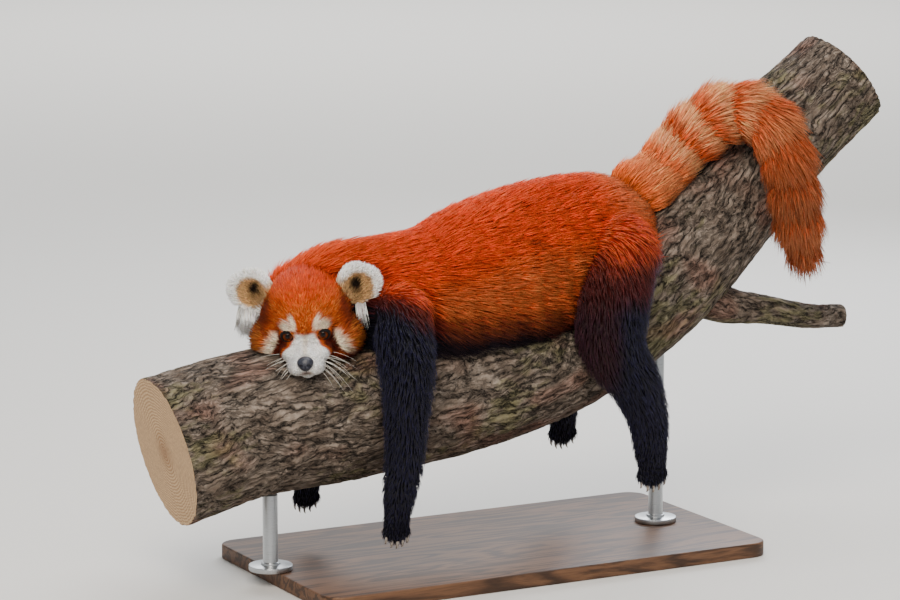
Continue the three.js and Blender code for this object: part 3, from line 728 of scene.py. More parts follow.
def shapeTufts(part, along, local, normal):
    # length, rise above the skin and width of each tuft in mm, by place on the body
    count = len(part)
    length, rise, width = np.full(count, 30.0), np.full(count, 11.5), np.full(count, 1.35)
    for name, limb in legs.items():
        here = part == name
        depth = coatDepth(limb, along[here])
        rise[here] = depth * 0.85 - 1.2 * soft(along[here], 0.85, 1)
        length[here] = 4.5 + depth * 2.0 - 4 * soft(along[here], 0.9, 1)
        width[here] = 1.15 - 0.25 * soft(along[here], 0.85, 1)
    tailed = part == "tail"
    a = along[tailed]
    length[tailed] = 38 - 5 * a
    rise[tailed] = 11.5 + (coatDepth(tail, a) - 11.5) * soft(a, 0.12, 0.4)
    # the fur puffs out band by band
    rise[tailed] *= 1 + 0.2 * soft(a, 0.14, 0.3) * np.sin(a / tail["bands"] * 2 * math.pi)
    width[tailed] = 1.5
    hindmost = (part == "trunk") & (along > 0.9) & (normal[:, 2] < 0.4)
    length[hindmost], rise[hindmost] = 18, 6
    faced = part == "head"
    x, y, z = np.abs(local[faced, 0]), local[faced, 1], local[faced, 2]
    front = soft(z, 14, 44)
    cheek = soft(x, 30, 52) * (1 - soft(y, 6, 30))
    crown = soft(y, 30, 56) * soft(-z, -10, 20)
    muzzle = soft(z, 44, 52)
    nearEye = 1 - 0.45 * (1 - soft(np.hypot(x - eye["x"], y - eye["y"]), 9, 14)) * soft(z, 20, 30)
    length[faced] = ((15 - 8 * front + cheek * 8 + crown * 16) * (1 - muzzle) + 4.2 * muzzle) * nearEye
    rise[faced] = ((6.5 - 4.3 * front + cheek * 2 + crown * 7) * (1 - muzzle) + 0.9 * muzzle) * nearEye
    width[faced] = 1.1 - 0.35 * muzzle + 0.35 * crown
    eared = part == "ear"
    length[eared], rise[eared], width[eared] = 7.5, 3.2, 1.0
    inner = eared & (normal @ headAxes[2] > 0.35)
    length[inner], rise[inner] = 8.5, 2.6
    return length, rise, width * coat["plump"]


def drawTogether(root, swirl):
    # the middle of the cluster each tuft belongs to, and that cluster's number
    cell = np.floor(root / coat["lumpSpacing"] + 0.35 * swirl[:, None]).astype(np.int64)
    key = cell @ np.array([73856093, 19349663, 83492791]) % 1000003
    order = np.argsort(key, kind="stable")
    sortedKey = key[order]
    starts = np.flatnonzero(np.r_[True, sortedKey[1:] != sortedKey[:-1]])
    sums = np.add.reduceat(root[order], starts, axis=0)
    sizes = np.diff(np.r_[starts, len(root)])
    centre = np.empty_like(root)
    centre[order] = np.repeat(sums / sizes[:, None], sizes, axis=0)
    cluster = np.empty(len(root), np.int64)
    cluster[order] = np.repeat(np.arange(len(starts)), sizes)
    return centre, cluster


def growCoat():
    root, normal, uv = sampleSkin()
    part, along, lie, local = readFlesh(root)
    count = len(root)
    drift = smoothRandom(root, 26.0, 1)
    swirl = smoothRandom(root, 34.0, 2)
    wobble = rng.normal(0, 0.3, count) + drift * 0.8
    length, rise, width = shapeTufts(part, along, local, normal)
    body, tailed, faced, eared = (part == name for name in ("trunk", "tail", "head", "ear"))
    length[body] += 14 * (1 - soft(overBlackLine(root[body]), -20, 25))
    x, y, z = np.abs(local[:, 0]), local[:, 1], local[:, 2]
    tassel = ((eared | faced) & (x > tassels["outside"]) & (y > tassels["low"]) & (y < tassels["high"])
              & (z < tassels["behind"]))
    length[tassel], rise[tassel] = tassels["length"], tassels["rise"]
    outward = np.where(local[:, :1] < 0, (-1.0, 1.0, 1.0), 1.0) * tassels["lie"]
    lie[tassel] = (outward @ headAxes)[tassel]
    for name in legs:  # down the leg, but backward where shoulder and haunch join the body
        here = part == name
        lie[here] += np.array([0.0, 0, -0.25]) + np.array([1.0, 0, 0.2]) * (1 - soft(along[here], 0.0, 0.32))[:, None]
    # hair on the trunk leans down its sides and hangs at the lower edge
    low = 1 - soft(overBlackLine(root), 0, 75)
    lie[body] += np.array([0, 0, -1]) * ((0.3 + 1.3 * low) * (1 - np.abs(normal[:, 2])))[body][:, None]
    flow = unit(lie) + np.cross(normal, unit(lie)) * (swirl * 0.3)[:, None] + rng.normal(0, 0.11, (count, 3))
    flow = unit(flow - normal * (flow * normal).sum(1, keepdims=True))
    length *= rng.uniform(0.7, 1.2, count)
    rise *= rng.uniform(0.55, 1.2, count)
    brush = tailed & (along > 0.88)
    length[brush] *= rng.uniform(0.5, 1.05, brush.sum())
    # bare where the eyes and nose are, and the body's fur stays clear of ears and tassels
    keep = np.ones(count, bool)
    for s in (-1, 1):
        d = local - (s * eye["x"], eye["y"], 34)
        keep &= ~(faced & (np.hypot(d[:, 0] / 6.8, d[:, 1] / 5.9) < 1) & (d[:, 2] > -12))
        for (x, y, z), clear in clearSpots:
            away = root + flow * length[:, None] * 0.6 - fromHead((s * x, y, z))
            keep &= faced | eared | (np.linalg.norm(away, axis=1) > clear)
    keep &= ~(faced & (np.linalg.norm((local - nosePad["at"]) / (9.2, 8.6, 12), axis=1) < 1))
    centre, cluster = drawTogether(root, swirl)
    pull = centre - root
    pull -= normal * (pull * normal).sum(1, keepdims=True)
    strength = np.where(faced | eared, coat["facePull"], coat["pull"])[:, None] * (0.6 + 0.8 * rng.random((count, 1)))
    groupTone = rng.normal(0, 1, cluster.max() + 1)[cluster]

    def spine(s):
        bend = math.sin(s * math.pi / 2) ** 0.85
        return (root - normal * coat["tuck"] + flow * (length * s)[:, None] * 0.95
                + normal * (rise * bend + coat["tuck"] * s)[:, None] + pull * strength * s ** 1.5)

    droop = np.array([0, 0, -1]) * np.where(tailed | body, coat["droop"], coat["shortDroop"])[:, None]
    rings = [spine(0.0), spine(0.46) + droop * 0.2, spine(1.0) + droop]
    for ring, least in ((rings[1], 1.6), (rings[2], 2.0)):  # over the branch rather than through it
        gap, out = branchGap(ring)
        sunk = gap < least
        ring[sunk] += out[sunk] * (least - gap[sunk])[:, None]
    where = np.where(eared[:, None], root, rings[1])
    colour, tip = furColours(part, along, where, normal, toHead(where), wobble)
    under = colour.copy()
    under[faced] = faceColours(toHead(rings[0])[faced], wobble[faced])
    tip[faced] = faceColours(toHead(rings[2])[faced], wobble[faced])
    # golden points on the forehead and cheeks
    golden = faced & (tip[:, 2] < 0.06) & (tip[:, 0] > 0.18) & (local[:, 1] > -20)
    most = 0.95 * (1 - 0.8 * soft(local[golden, 1], 26, 56))
    tip[golden] = layered(tip[golden], (rng.uniform(-0.9, 1, golden.sum()).clip(0, 1) * most, "foreheadTip"))
    for layer in (under, colour, tip):
        layer[tassel] = tones["white"]
    # painted shade of the partings, darkening the tufts of the back by up to 0.7
    partingShade = np.max([np.exp(-(((root - spot) / backPartingShade["sizes"]) ** 2).sum(1)) for spot in backPartingShade["spots"]], axis=0)
    contrast = rng.normal(0, 1, count) * np.where(tailed, 0.26, 0.19) + groupTone * 0.09 + drift * 0.14
    shade = np.exp(contrast) * (1 - 0.7 * partingShade * body)
    tint = shade[:, None] * (1 + rng.normal(0, 0.04, (count, 3)))
    # each tuft's root tone is darkened to half: painted shade deep in the coat
    return dict(rings=rings, flow=flow, normal=normal, width=width * rng.uniform(0.75, 1.2, count), uv=uv, keep=keep,
                tones=[under * 0.5 * tint, colour * tint, tip * rng.uniform(0.9, 1.2, (count, 1)) * tint], part=part)


def tuftMesh(name, data, index):
    # closed three-sided tufts, each tapering to a point, as one mesh
    n = len(index)
    out = data["normal"][index]
    side = unit(np.cross(data["flow"][index], out))
    half = data["width"][index, None] / 2
    rows = []
    for k, share in enumerate((0.8, 1.0)):
        centre = data["rings"][k][index]
        rows += [centre + side * half * share, centre - side * half * share, centre + out * half * share * 0.8]
    rows.append(data["rings"][2][index])
    quads = [(0, 1, 4, 3), (1, 2, 5, 4), (2, 0, 3, 5)]
    triangles = [(3, 4, 6), (4, 5, 6), (5, 3, 6), (2, 1, 0)]
    pattern = np.array([i for face in quads + triangles for i in face])
    loops = (pattern[None, :] + np.arange(n)[:, None] * 7).ravel()
    sizes = np.tile([4] * 3 + [3] * 4, n)
    mesh = bpy.data.meshes.new(name)
    mesh.vertices.add(n * 7)
    store(mesh.vertices, "co", np.stack(rows, 1) * mm)
    mesh.loops.add(len(loops))
    mesh.loops.foreach_set("vertex_index", loops.astype(np.int32))
    mesh.polygons.add(n * 7)
    mesh.polygons.foreach_set("loop_start", np.r_[0, np.cumsum(sizes)[:-1]].astype(np.int32))
    mesh.polygons.foreach_set("use_smooth", np.ones(n * 7, bool))
    mesh.update(calc_edges=True)
    storeTone(mesh, np.stack([data["tones"][k][index] for k in (0, 0, 0, 1, 1, 1, 2)], 1).reshape(-1, 3).clip(0, 1))
    patch = np.array([(-1, -1), (1, -1), (0, -1), (-1, 0), (1, 0), (0, 0), (0, 1)]) * 0.0015
    perVertex = (data["uv"][index][:, None, :] + patch[None]).reshape(-1, 2)
    store(mesh.uv_layers.new(name="OFBake").data, "uv", perVertex[loops])
    piece = bpy.data.objects.new(name, mesh)
    bpy.context.collection.objects.link(piece)
    return piece


def furMaterial(name, roughness, gloss):
    # the attribute Tone holds the markings; fine noise splits each tuft into hairs of different shades
    hair = surfaceNodes(name, Roughness=roughness, IOR=1.55, Specular_IOR_Level=gloss)
    hair.shaded(hair.trait("Tone", "Color"), hair.remap(hair.noise(hair.place(), 1100.0), 0.3, 0.7, 0.8, 1.2))
    return hair.material


# dry guard hair: nearly matt, so that its colour and not its gloss is seen
guardHair = furMaterial("guardHair", 0.65, 0.1)
# the black fur of the legs is glossier, so that single clumps catch the light
glossyBlackHair = furMaterial("glossyBlackHair", 0.48, 0.3)
# woolly underfur: quite matt, it closes the coat between the tufts
skin.data.materials.append(furMaterial("woollyUnderfur", 0.9, 0.1))
fleshNodes = [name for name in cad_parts
              if name.split("_")[0] in ("head", "ear", "neck", "torso", "front", "hind", "tail")]
finishPiece(skin, "skin", fleshNodes)

coatData = growCoat()
for partName in ["trunk", "tail", "head", "ear", *legs]:
    chosen = np.flatnonzero((coatData["part"] == partName) & coatData["keep"])
    for number, index in enumerate(np.array_split(chosen, math.ceil(len(chosen) / coat["piece"]))):
        piece = tuftMesh(f"coat_{partName}_{number + 1}", coatData, index)
        piece.data.materials.append(glossyBlackHair if partName in legs else guardHair)
        finishPiece(piece, piece.name)
    say(f"coat of the {partName}: {len(chosen)} tufts")

# bark: a closed tube along each limb of the branch, ridged lengthwise, its cut ends showing yearly rings

bark = dict(along=400, around=180, furrow=2.0, plate=1.3, grit=0.35, swell=2.4)
barkSide = dict(along=130, around=56, furrow=0.8, plate=0.7, grit=0.3, swell=1.0)
sawnSteps = (0.985, 0.94, 0.85, 0.7, 0.5, 0.3, 0.12)  # rings of the cut end, as shares of its radius


def barkTube(name, plan, look, seed, nodes):
    line = smoothLine(plan["points"], look["along"])
    place, radius = line[:, :3], line[:, 3]
    way = unit(np.gradient(place, axis=0))
    across = unit(np.cross(way, (0, 0, 1)))
    up = np.cross(across, way)
    run = np.r_[0, np.cumsum(np.linalg.norm(np.diff(place, axis=0), axis=1))]
    rings, n = look["along"], look["around"]
    shift = seed * 31.7
    vertices, traits = [], []  # traits: hollow shade (painted shade in furrows and low spots), moss, red, ring size, then the grain's own coordinates
    for k, s in enumerate(run):
        for a in np.linspace(0, 2 * math.pi, n, endpoint=False):
            cy, cz = math.cos(a) * radius[k], math.sin(a) * radius[k]
            bend = noise.noise((s / 70 + shift, cy / 34, cz / 34))
            sway = s + 26 * bend
            ridge = noise.noise((sway / 34 + shift, (cy + 9 * bend) / 9, (cz - 9 * bend) / 9))
            lump = noise.noise((s / 15, cy / 8, cz / 8 + shift))
            grit = noise.noise((s / 4, cy / 3, cz / 3 + shift))
            wide = noise.noise((s / 120 + shift, cy / 70, cz / 70))
            furrow = math.exp(-(ridge / 0.12) ** 2)
            rise = look["plate"] * lump + look["grit"] * grit + look["swell"] * wide - 1.4 - look["furrow"] * furrow
            vertices.append(place[k] + (across[k] * math.cos(a) + up[k] * math.sin(a)) * (radius[k] + rise))
            red = noise.noise((s / 60 + shift, cy / 42, cz / 42 + 9))
            traits.append((0.7 * furrow + 0.3 * max(0, -lump), wide + 0.5 * lump, red, 0, sway * mm, cy * mm, cz * mm))
    faces = rowFaces(rings, n)
    barkFaces = len(faces)
    # the sawn ends step in to the pith
    for end, turned in ((0, 1), (rings - 1, -1)):
        rim = range(end * n, end * n + n)
        edges = np.array(vertices[rim.start:rim.stop])
        for share in sawnSteps:
            base = len(vertices)
            for edge in edges:
                saw = 0.35 * noise.noise((edge[0] / 4 * share, edge[1] / 9, edge[2] / 9 * share))
                vertices.append(place[end] + (edge - place[end]) * share + way[end] * saw)
                yearly = share * radius[end] + noise.noise(Vector(edge / 40 * share)) * 2.5
                traits.append((0, 0, 0, yearly, 0, 0, 0))
            faces += [(rim[j], rim[(j + 1) % n], base + (j + 1) % n, base + j)[::turned] for j in range(n)]
            rim = range(base, base + n)
        faces += [(rim[j], rim[(j + 1) % n], len(vertices))[::turned] for j in range(n)]
        vertices.append(place[end])
        traits.append((0,) * 7)
    piece = meshFrom(name, np.array(vertices) * mm, faces)
    mesh = piece.data
    traits = np.array(traits, np.float32)
    for column, label in enumerate(("HollowShade", "Moss", "Red", "RingSize")):
        store(mesh.attributes.new(label, "FLOAT", "POINT").data, "value", traits[:, column])
    store(mesh.attributes.new("Grain", "FLOAT_VECTOR", "POINT").data, "vector", traits[:, 4:])
    for material in (barkMaterial, sawnWood):
        mesh.materials.append(material)
    mesh.polygons.foreach_set("material_index", (np.arange(len(faces)) >= barkFaces).astype(np.int32))
    inEditMode(piece, bpy.ops.mesh.normals_make_consistent, inside=False)
    bpy.ops.object.shade_smooth_by_angle(angle=math.radians(55))
    return finishPiece(piece, name, nodes)


def fissuredBark():
    # rough living bark: grey-brown plates 8 mm across and three times as long, between cracks and hollows darkened
    # with painted shade, with olive algae and rusty patches, quite matt; the plates' middles are painted lighter
    rough = surfaceNodes("fissuredBark", Roughness=0.9, IOR=1.45, Specular_IOR_Level=0.2)
    grain = flow = rough.trait("Grain", "Vector")
    for scale, reach in ((16.0, 0.030), (70.0, 0.010), (260.0, 0.0035)):  # cracks waver at three sizes
        drift = rough.vectors("SUBTRACT", rough.noise(grain, scale, output="Color"), (0.5, 0.5, 0.5))
        flow = rough.vectors("MULTIPLY_ADD", drift, (reach, reach, reach), flow)
    long = rough.stretch(flow, 0.30, 1.0, 1.0)
    cell = rough.add("TexVoronoi", "Distance", dict(feature="DISTANCE_TO_EDGE"), Vector=long, Scale=105.0)
    wavy = rough.noise(rough.stretch(flow, 0.17, 1.0, 1.0), 115.0, 3.0, Roughness=0.6)
    chip = rough.remap(rough.maths("ABSOLUTE", rough.maths("SUBTRACT", wavy, 0.5)), 0.0, 0.085)
    grit = rough.noise(long, 420.0, 5.0, Roughness=0.7)
    plates = rough.maths("MULTIPLY_ADD", chip, 1.1, rough.remap(cell, 0.0, 0.22))
    height = rough.maths("MULTIPLY_ADD", grit, 0.7, plates)
    patches = rough.noise(rough.place(), 45.0, 6.0, Roughness=0.7)
    colour = rough.ramp(patches, (0.30, "#5c4e43"), (0.50, "#7a6c60"), (0.72, "#9f9184"))
    moss = rough.maths("MULTIPLY_ADD", grit, 0.5, rough.trait("Moss"))
    # moss and rusty patches are the bark's own colour; the hollows get painted shade
    for source, low, high, most, tone in ((moss, 0.30, 0.62, 0.55, "#75724a"),
                                          (rough.trait("Red"), 0.16, 0.45, 0.40, "#8a5a4c"),
                                          (rough.trait("HollowShade"), 0.15, 0.9, 0.45, "#2c231d")):
        colour = rough.blend(rough.remap(source, low, high, 0.0, most), colour, tone)
    # painted shade and light: the colour falls to 0.05 in the cracks and rises to 1.12 in the middles of the plates
    rough.shaded(colour, rough.remap(height, 0.45, 2.3, 0.05, 1.12))
    rough.bump(height, 1.0, 0.0024)
    return rough.material


def sawnEndGrain():
    # sawn end grain: pale sapwood darkening to the heart, with yearly rings about 4 mm apart
    wood = surfaceNodes("sawnEndGrain", Roughness=0.8, IOR=1.45)
    ring = wood.trait("RingSize")
    band = wood.remap(wood.maths("SINE", wood.maths("MULTIPLY", ring, 1.6)), -1.0, 1.0)
    early = wood.ramp(band, (0.0, "#9f7a54"), (0.7, "#bf9c74"), (1.0, "#c9ab84"))
    fleck = wood.noise(wood.place(), 300.0, 4.0)
    warm = wood.blend(wood.remap(ring, 30.0, 5.0, 0.0, 0.6), early, "#7d5434")
    wood.shaded(warm, wood.remap(fleck, 0.3, 0.7, 0.8, 1.1))
    wood.bump(fleck, 0.3, 0.0006)
    return wood.material


barkMaterial = fissuredBark()
sawnWood = sawnEndGrain()
barkTube("branchBark", branch, bark, 1, ["branch"])
barkTube("sideBranchBark", sideBranch, barkSide, 2, ["side_branch"])
say("bark is made")

# the face: eyeballs, lids, nose pad, mouth line and whiskers

def wetEyeball():
    # wet eye: clear hard gloss over a brown iris round a wide dark pupil
    wet = surfaceNodes("wetEye", Roughness=0.1, IOR=1.34, Coat_Weight=0.1, Coat_Roughness=0.03,
                       Specular_IOR_Level=0.25)
    edge = wet.maths("MULTIPLY_ADD", wet.noise(wet.place(), 1400.0), 0.05, wet.trait("IrisReach"))
    colour = wet.ramp(edge, (0.15, "#040303"), (0.21, "#2a1106"), (0.40, "#6a3015"), (0.54, "#40190b"),
                      (0.62, "#0a0504"))
    wet.join(wet.shader, dict(Base_Color=colour))
    return wet.material


def bareLidSkin():
    # bare skin of lids and lips: nearly black, dull and finely creased
    bare = surfaceNodes("bareLidSkin", Base_Color=linear("#060303"), Roughness=0.75, IOR=1.3)
    bare.bump(bare.noise(bare.place(), 1200.0), 0.3, 0.0004)
    return bare.material


def noseLeather():
    # nose leather: pebbled, moist and blue-black
    moist = surfaceNodes("noseLeather", Roughness=0.36, IOR=1.45, Coat_Weight=0.25, Coat_Roughness=0.25)
    pebbles = moist.add("TexVoronoi", "Distance", Vector=moist.place(), Scale=1100.0)
    colour = moist.ramp(pebbles, (0.0, "#34374a"), (0.6, "#1d1f29"), (1.0, "#0d0e12"))
    moist.join(moist.shader, dict(Base_Color=colour))
    moist.bump(pebbles, 0.5, 0.0005, invert=True)
    return moist.material


wetEye, lidSkin = wetEyeball(), bareLidSkin()
eyeball = dict(cornea=0.06, corneaSize=0.16, irisScale=0.85)
# the eye's opening in mm, and the lid's section: share of the opening, radius of the ball it lies on, step forward
lids = dict(around=56, wide=5.8, upper=4.8, lower=4.7, tilt=0.35, outward=0.4,
            section=[(0.97, 7.5, 0.0), (1.0, 8.1, 0.0), (1.07, 8.5, 0.3), (1.22, 8.5, 0.0), (1.5, 8.0, -1.8),
                     (1.4, 7.0, -3.0)])
gaze = unit(np.array(camera.location) / mm - fromHead((0, eye["y"], eye["z"])))
forward = unit(gaze * 0.6 + headAxes[2] * 0.4)

for label, side in (("left", 1), ("right", -1)):
    piece, ball = unitSphere(f"eyeBall_{label}", 48, 32)
    bulge = 1 + eyeball["cornea"] * np.exp(-((1 - ball @ forward) / eyeball["corneaSize"]) ** 2)
    movePoints(piece, fromHead((side * eye["x"], eye["y"], eye["z"])) + ball * eye["radius"] * bulge[:, None])
    fromPupil = np.arccos(np.clip(ball @ forward, -1, 1)) / (math.pi / 2)
    store(piece.data.attributes.new("IrisReach", "FLOAT", "POINT").data, "value", fromPupil * eyeball["irisScale"])
    piece.data.materials.append(wetEye)
    makeActive(piece)
    bpy.ops.object.shade_smooth()
    finishPiece(piece, piece.name, [f"eye_{label}"])
    # the lids hug the eyeball and run out under the fur
    rim = []
    for a in np.arange(lids["around"]) / lids["around"] * 2 * math.pi:
        for share, reach, step in lids["section"]:
            x = lids["wide"] * math.cos(a) * share
            y = lids["upper" if math.sin(a) > 0 else "lower"] * math.sin(a) * share + lids["tilt"] * math.cos(a) * side
            flat = min(0.98, math.hypot(x, y) / (reach + 0.6))
            z = math.sqrt(1 - flat * flat) * reach + step
            rim.append(fromHead((side * eye["x"] + x + side * lids["outward"], eye["y"] + y, eye["z"] + z)))
    lid = meshFrom(f"eyeLids_{label}", np.array(rim) * mm, rowFaces(lids["around"], len(lids["section"]), closed=True))
    smoothSolid(lid, lidSkin)
    finishPiece(lid, lid.name)


def makeNose():
    pad, q = unitSphere("nosePad", 72, 48)
    q[:, 0] *= 1 + 0.20 * q[:, 1] - 0.10 * q[:, 1] ** 2  # wide above, narrow at the lip
    q[:, 2] *= 1 - 0.12 * np.clip(q[:, 1], 0, 1)
    q = q * nosePad["sizes"]
    for side in (-1, 1):  # comma-shaped nostrils, open to the sides
        for x, y, size, depth in nosePad["nostril"]:
            near = np.exp(-(((q[:, 0] - side * x) ** 2 + (q[:, 1] - y) ** 2) / size ** 2)) * (q[:, 2] > 0)
            q[:, 2] -= depth * near
    groove = np.exp(-(q[:, 0] / nosePad["groove"]) ** 2) * (q[:, 1] < 0.5) * (q[:, 2] > 0)
    q[:, 2] -= 1.1 * groove
    movePoints(pad, fromHead(q + nosePad["at"]))
    pad.data.materials.append(noseLeather())
    makeActive(pad)
    bpy.ops.object.shade_smooth()
    return finishPiece(pad, "nosePad", ["nose"])


makeNose()


def taperedTubes(name, strands, material, sides=6):
    # each strand is a list of (point, radius) in mm and becomes a closed tube that ends in a point
    vertices, faces = [], []
    for strand in strands:
        points = np.array([p for p, radius in strand], float)
        ways = unit(np.gradient(points, axis=0))
        across = unit(np.cross(ways, (0.31, 0.22, 0.92)))
        up = np.cross(ways, across)
        first, rows = len(vertices), len(strand) - 1
        for k in range(rows):
            for a in np.arange(sides) / sides * 2 * math.pi:
                vertices.append(points[k] + (across[k] * math.cos(a) + up[k] * math.sin(a)) * strand[k][1])
        faces += rowFaces(rows, sides, first)
        last, tip = first + (rows - 1) * sides, len(vertices)
        vertices.append(points[-1])
        faces += [(last + j, last + (j + 1) % sides, tip) for j in range(sides)]
        faces.append([first + sides - 1 - j for j in range(sides)])
    piece = meshFrom(name, np.array(vertices) * mm, faces)
    smoothSolid(piece, material)
    return finishPiece(piece, name)


# lips: a thin dark line below the nose that follows the muzzle, 0.9 mm proud of the skin

def onMuzzle(x, y, lift):
    start, way = fromHead((x, y, 130)) * mm, -headAxes[2]
    hit, spot, normal, index = skin.ray_cast(Vector(start), Vector(way))
    return np.array(spot) / mm + headAxes[2] * lift


lipLines = [[(0, -25), (0, -27.5), (0, -30.5)]]
for side in (-1, 1):
    lipLines.append([(0, -30.3), (side * 3, -31.6), (side * 7, -32), (side * 11, -31), (side * 14.5, -28.8)])
lips = []
for line in lipLines:
    narrowing = smoothLine([(*spot, 0.6 - 0.06 * k) for k, spot in enumerate(line)], 12)
    lips.append([(onMuzzle(x, y, 0.9), radius) for x, y, radius in narrowing])
taperedTubes("lipLine", lips, lidSkin)


def whisker(root, way, reach, sag, thick, fine, points):
    # a bristle that thins from its root and sags towards its end
    return [(root + way * reach * t - np.array([0, 0, sag]) * t * t, thick * (1 - t) + fine)
            for t in np.linspace(0, 1, points)]


whiskers = []
for side in (-1, 1):
    for row in range(4):
        for k in range(4):
            root = fromHead((side * (16 + k * 3.4), -17 - row * 4.2 + k * 0.8, 60 - k * 6.5))
            reach = 24 + 6 * k + rng.uniform(-7, 9)
            rising = -0.16 - 0.20 * row + rng.uniform(-0.14, 0.14)
            way = unit(np.array([side * (0.95 - 0.05 * row), rising, 0.15 - 0.16 * k]) @ headAxes)
            whiskers.append(whisker(root, way, reach, rng.uniform(6, 15), 0.19, 0.04, 9))
    for k in range(3):  # over the eye
        root = fromHead((side * (15 + 3 * k), 20 + 2 * k, 38))
        way = unit(np.array([side * 0.5, 0.7, 0.45]) @ headAxes)
        whiskers.append(whisker(root, way, 15, 3, 0.16, 0.03, 6))
# whiskers: stiff, smooth and off-white, finer than a millimetre
whiskerHair = surfaceNodes("whiskerHair", Base_Color=linear("#efe9dd"), Roughness=0.3, IOR=1.55).material
taperedTubes("whiskers", whiskers, whiskerHair, sides=4)


def clawHorn():
    # claws: smooth horn with darker and paler patches
    horn = surfaceNodes("clawHorn", Roughness=0.28, IOR=1.54)
    colour = horn.ramp(horn.noise(horn.place(), 500.0, 3.0), (0.3, "#5c524c"), (0.7, "#a89c90"))
    horn.join(horn.shader, dict(Base_Color=colour))
    return horn.material


# from root to point: mm along the toe, mm towards its back, and radius
clawLine = ((-3, 0.4, 1.6), (2.0, 1.0, 1.6), (5.4, 0.2, 1.2), (7.8, -2.8, 0.15))
claws = []
for plan in paws.values():
    across, down, back = pawAxes(plan)
    for spot, toe in toeSpots(plan):
        root = spot + down * toe * 0.95 + back * 1.0
        line = smoothLine([(*(root + down * a + back * b), r) for a, b, r in clawLine], 9)
        claws.append([(row[:3], row[3]) for row in line])
taperedTubes("claws", claws, clawHorn(), sides=8)
say("face and claws are made")

# the stand: an oiled board and two satin steel rods with flanges

def oiledWalnut():
    # oiled walnut: long grain with darker growth lines about 6 mm apart and open pores
    wood = surfaceNodes("oiledWalnut", Roughness=0.5, IOR=1.48, Specular_IOR_Level=0.35)
    warp = wood.noise(wood.stretch(wood.place(), 1.0, 9.0, 9.0), 3.2, 6.0, Distortion=0.6)
    band = wood.remap(wood.maths("SINE", wood.maths("MULTIPLY", warp, 46.0)), -1.0, 1.0)
    tone = wood.ramp(band, (0.0, "#3c281b"), (0.5, "#5a3d29"), (1.0, "#6d4c34"))
    pores = wood.noise(wood.stretch(wood.place(), 1.0, 24.0, 24.0), 42.0, 3.0)
    wood.shaded(tone, wood.remap(pores, 0.35, 0.62, 0.72, 1.08))
    wood.bump(pores, 0.15, 0.0004)
    return wood.material


def satinSteel():
    # satin stainless steel: fine turned lines round the rod that spread the highlight
    metal = surfaceNodes("satinSteel", Base_Color=linear("#b9bbbd"), Metallic=1.0, Roughness=0.34)
    lines = metal.noise(metal.stretch(metal.place(), 1.0, 1.0, 60.0), 60.0)
    metal.join(metal.shader, dict(Roughness=metal.remap(lines, 0.3, 0.7, 0.26, 0.42)))
    metal.bump(lines, 0.08, 0.0003)
    return metal.material


boardLow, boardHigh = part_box("stand_base")
deselectAll()
bpy.ops.mesh.primitive_cube_add(size=1, location=(boardLow + boardHigh) / 2)
board = bpy.context.object
board.scale = boardHigh - boardLow
bpy.ops.object.transform_apply(location=False, rotation=False, scale=True)
uprights = board.data.attributes.new("bevel_weight_edge", "FLOAT", "EDGE")
for edge in board.data.edges:
    a, b = (board.data.vertices[i].co for i in edge.vertices)
    uprights.data[edge.index].value = 1.0 if abs(a.z - b.z) > 0.001 else 0.0
reshape(board, "BEVEL", width=0.024, segments=10, limit_method="WEIGHT")  # rounded corners
reshape(board, "BEVEL", width=0.002, segments=4, limit_method="ANGLE")  # eased edges
board.data.materials.append(oiledWalnut())
bpy.ops.object.shade_smooth_by_angle(angle=math.radians(35))
finishPiece(board, "standBoard", ["stand_base"])

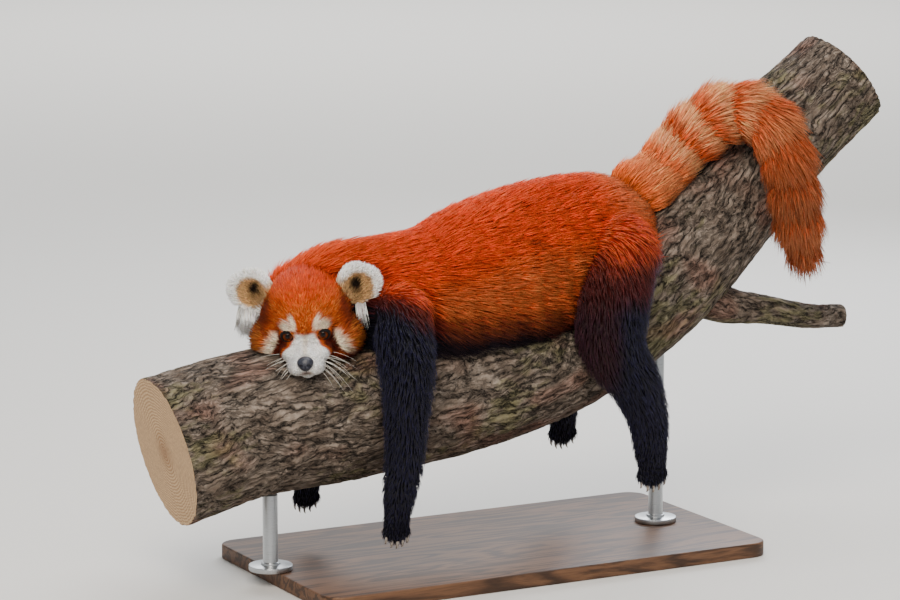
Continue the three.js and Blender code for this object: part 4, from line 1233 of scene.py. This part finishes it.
# sizes in m: the foot, its raised collar, the rod that stands in it, and how far the rod stops short of the sum
post = dict(foot=0.026, footThick=0.006, collarInset=0.0148, collarRise=0.003, rodInset=0.0022, short=0.010,
            edge=0.0008)
steel = satinSteel()
for label in ("front", "rear"):
    low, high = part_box(f"stand_rod_{label}")
    centre = (low + high) / 2
    deselectAll()
    bpy.ops.mesh.primitive_cylinder_add(vertices=64, radius=post["foot"], depth=post["footThick"],
                                        location=(centre.x, centre.y, low.z + post["footThick"] / 2))
    rod = bpy.context.object
    bpy.ops.object.mode_set(mode="EDIT")
    bpy.ops.mesh.select_mode(type="FACE")
    bpy.ops.mesh.select_all(action="DESELECT")
    shape = bmesh.from_edit_mesh(rod.data)
    for face in shape.faces:
        face.select = face.normal.z > 0.9
    bmesh.update_edit_mesh(rod.data)
    for inset, rise in ((post["collarInset"], post["collarRise"]), (post["rodInset"], high.z - low.z - post["short"])):
        bpy.ops.mesh.inset(thickness=inset)
        bpy.ops.mesh.extrude_region_move(TRANSFORM_OT_translate=dict(value=(0, 0, rise)))
    bpy.ops.object.mode_set(mode="OBJECT")
    reshape(rod, "BEVEL", width=post["edge"], segments=3)
    rod.data.materials.append(steel)
    bpy.ops.object.shade_smooth_by_angle(angle=math.radians(35))
    finishPiece(rod, f"standRod_{label}", [f"stand_rod_{label}"])
say("stand is made")

# floor and light

bpy.ops.mesh.primitive_plane_add(size=24, location=(0, 4, 0))
floor = bpy.context.object
floor.name = "floor"
# floor: pale matt paint that takes a soft shadow
floor.data.materials.append(surfaceNodes("paleFloor", Base_Color=linear("#d9d6d1"), Roughness=0.75).material)

world = bpy.data.worlds.new("studio")
bpy.context.scene.world = world
world.use_nodes = True
world.node_tree.nodes["Background"].inputs["Color"].default_value = linear("#dfe3e6")
world.node_tree.nodes["Background"].inputs["Strength"].default_value = 0.72


def softbox(name, place, target, size, power, tint="#ffffff"):
    light = bpy.data.objects.new(name, bpy.data.lights.new(name, "AREA"))
    bpy.context.collection.objects.link(light)
    light.location = place
    light.rotation_euler = (Vector(place) - Vector(target)).to_track_quat("Z", "Y").to_euler()
    light.data.size = size
    light.data.energy = power
    light.data.color = linear(tint)[:3]


softbox("keySoftbox", (-1.6, -2.2, 2.6), (0, 0, 0.35), 1.8, 122, "#fff6ea")
softbox("topSoftbox", (0.4, 0.2, 2.8), (0, 0, 0.3), 2.4, 60)
softbox("rimSoftbox", (1.8, 1.6, 1.6), (0, 0, 0.35), 1.2, 30, "#eef4ff")
softbox("backgroundSoftbox", (3.6, 7.0, 4.5), (3.6, 7.0, 0), 6.0, 520)
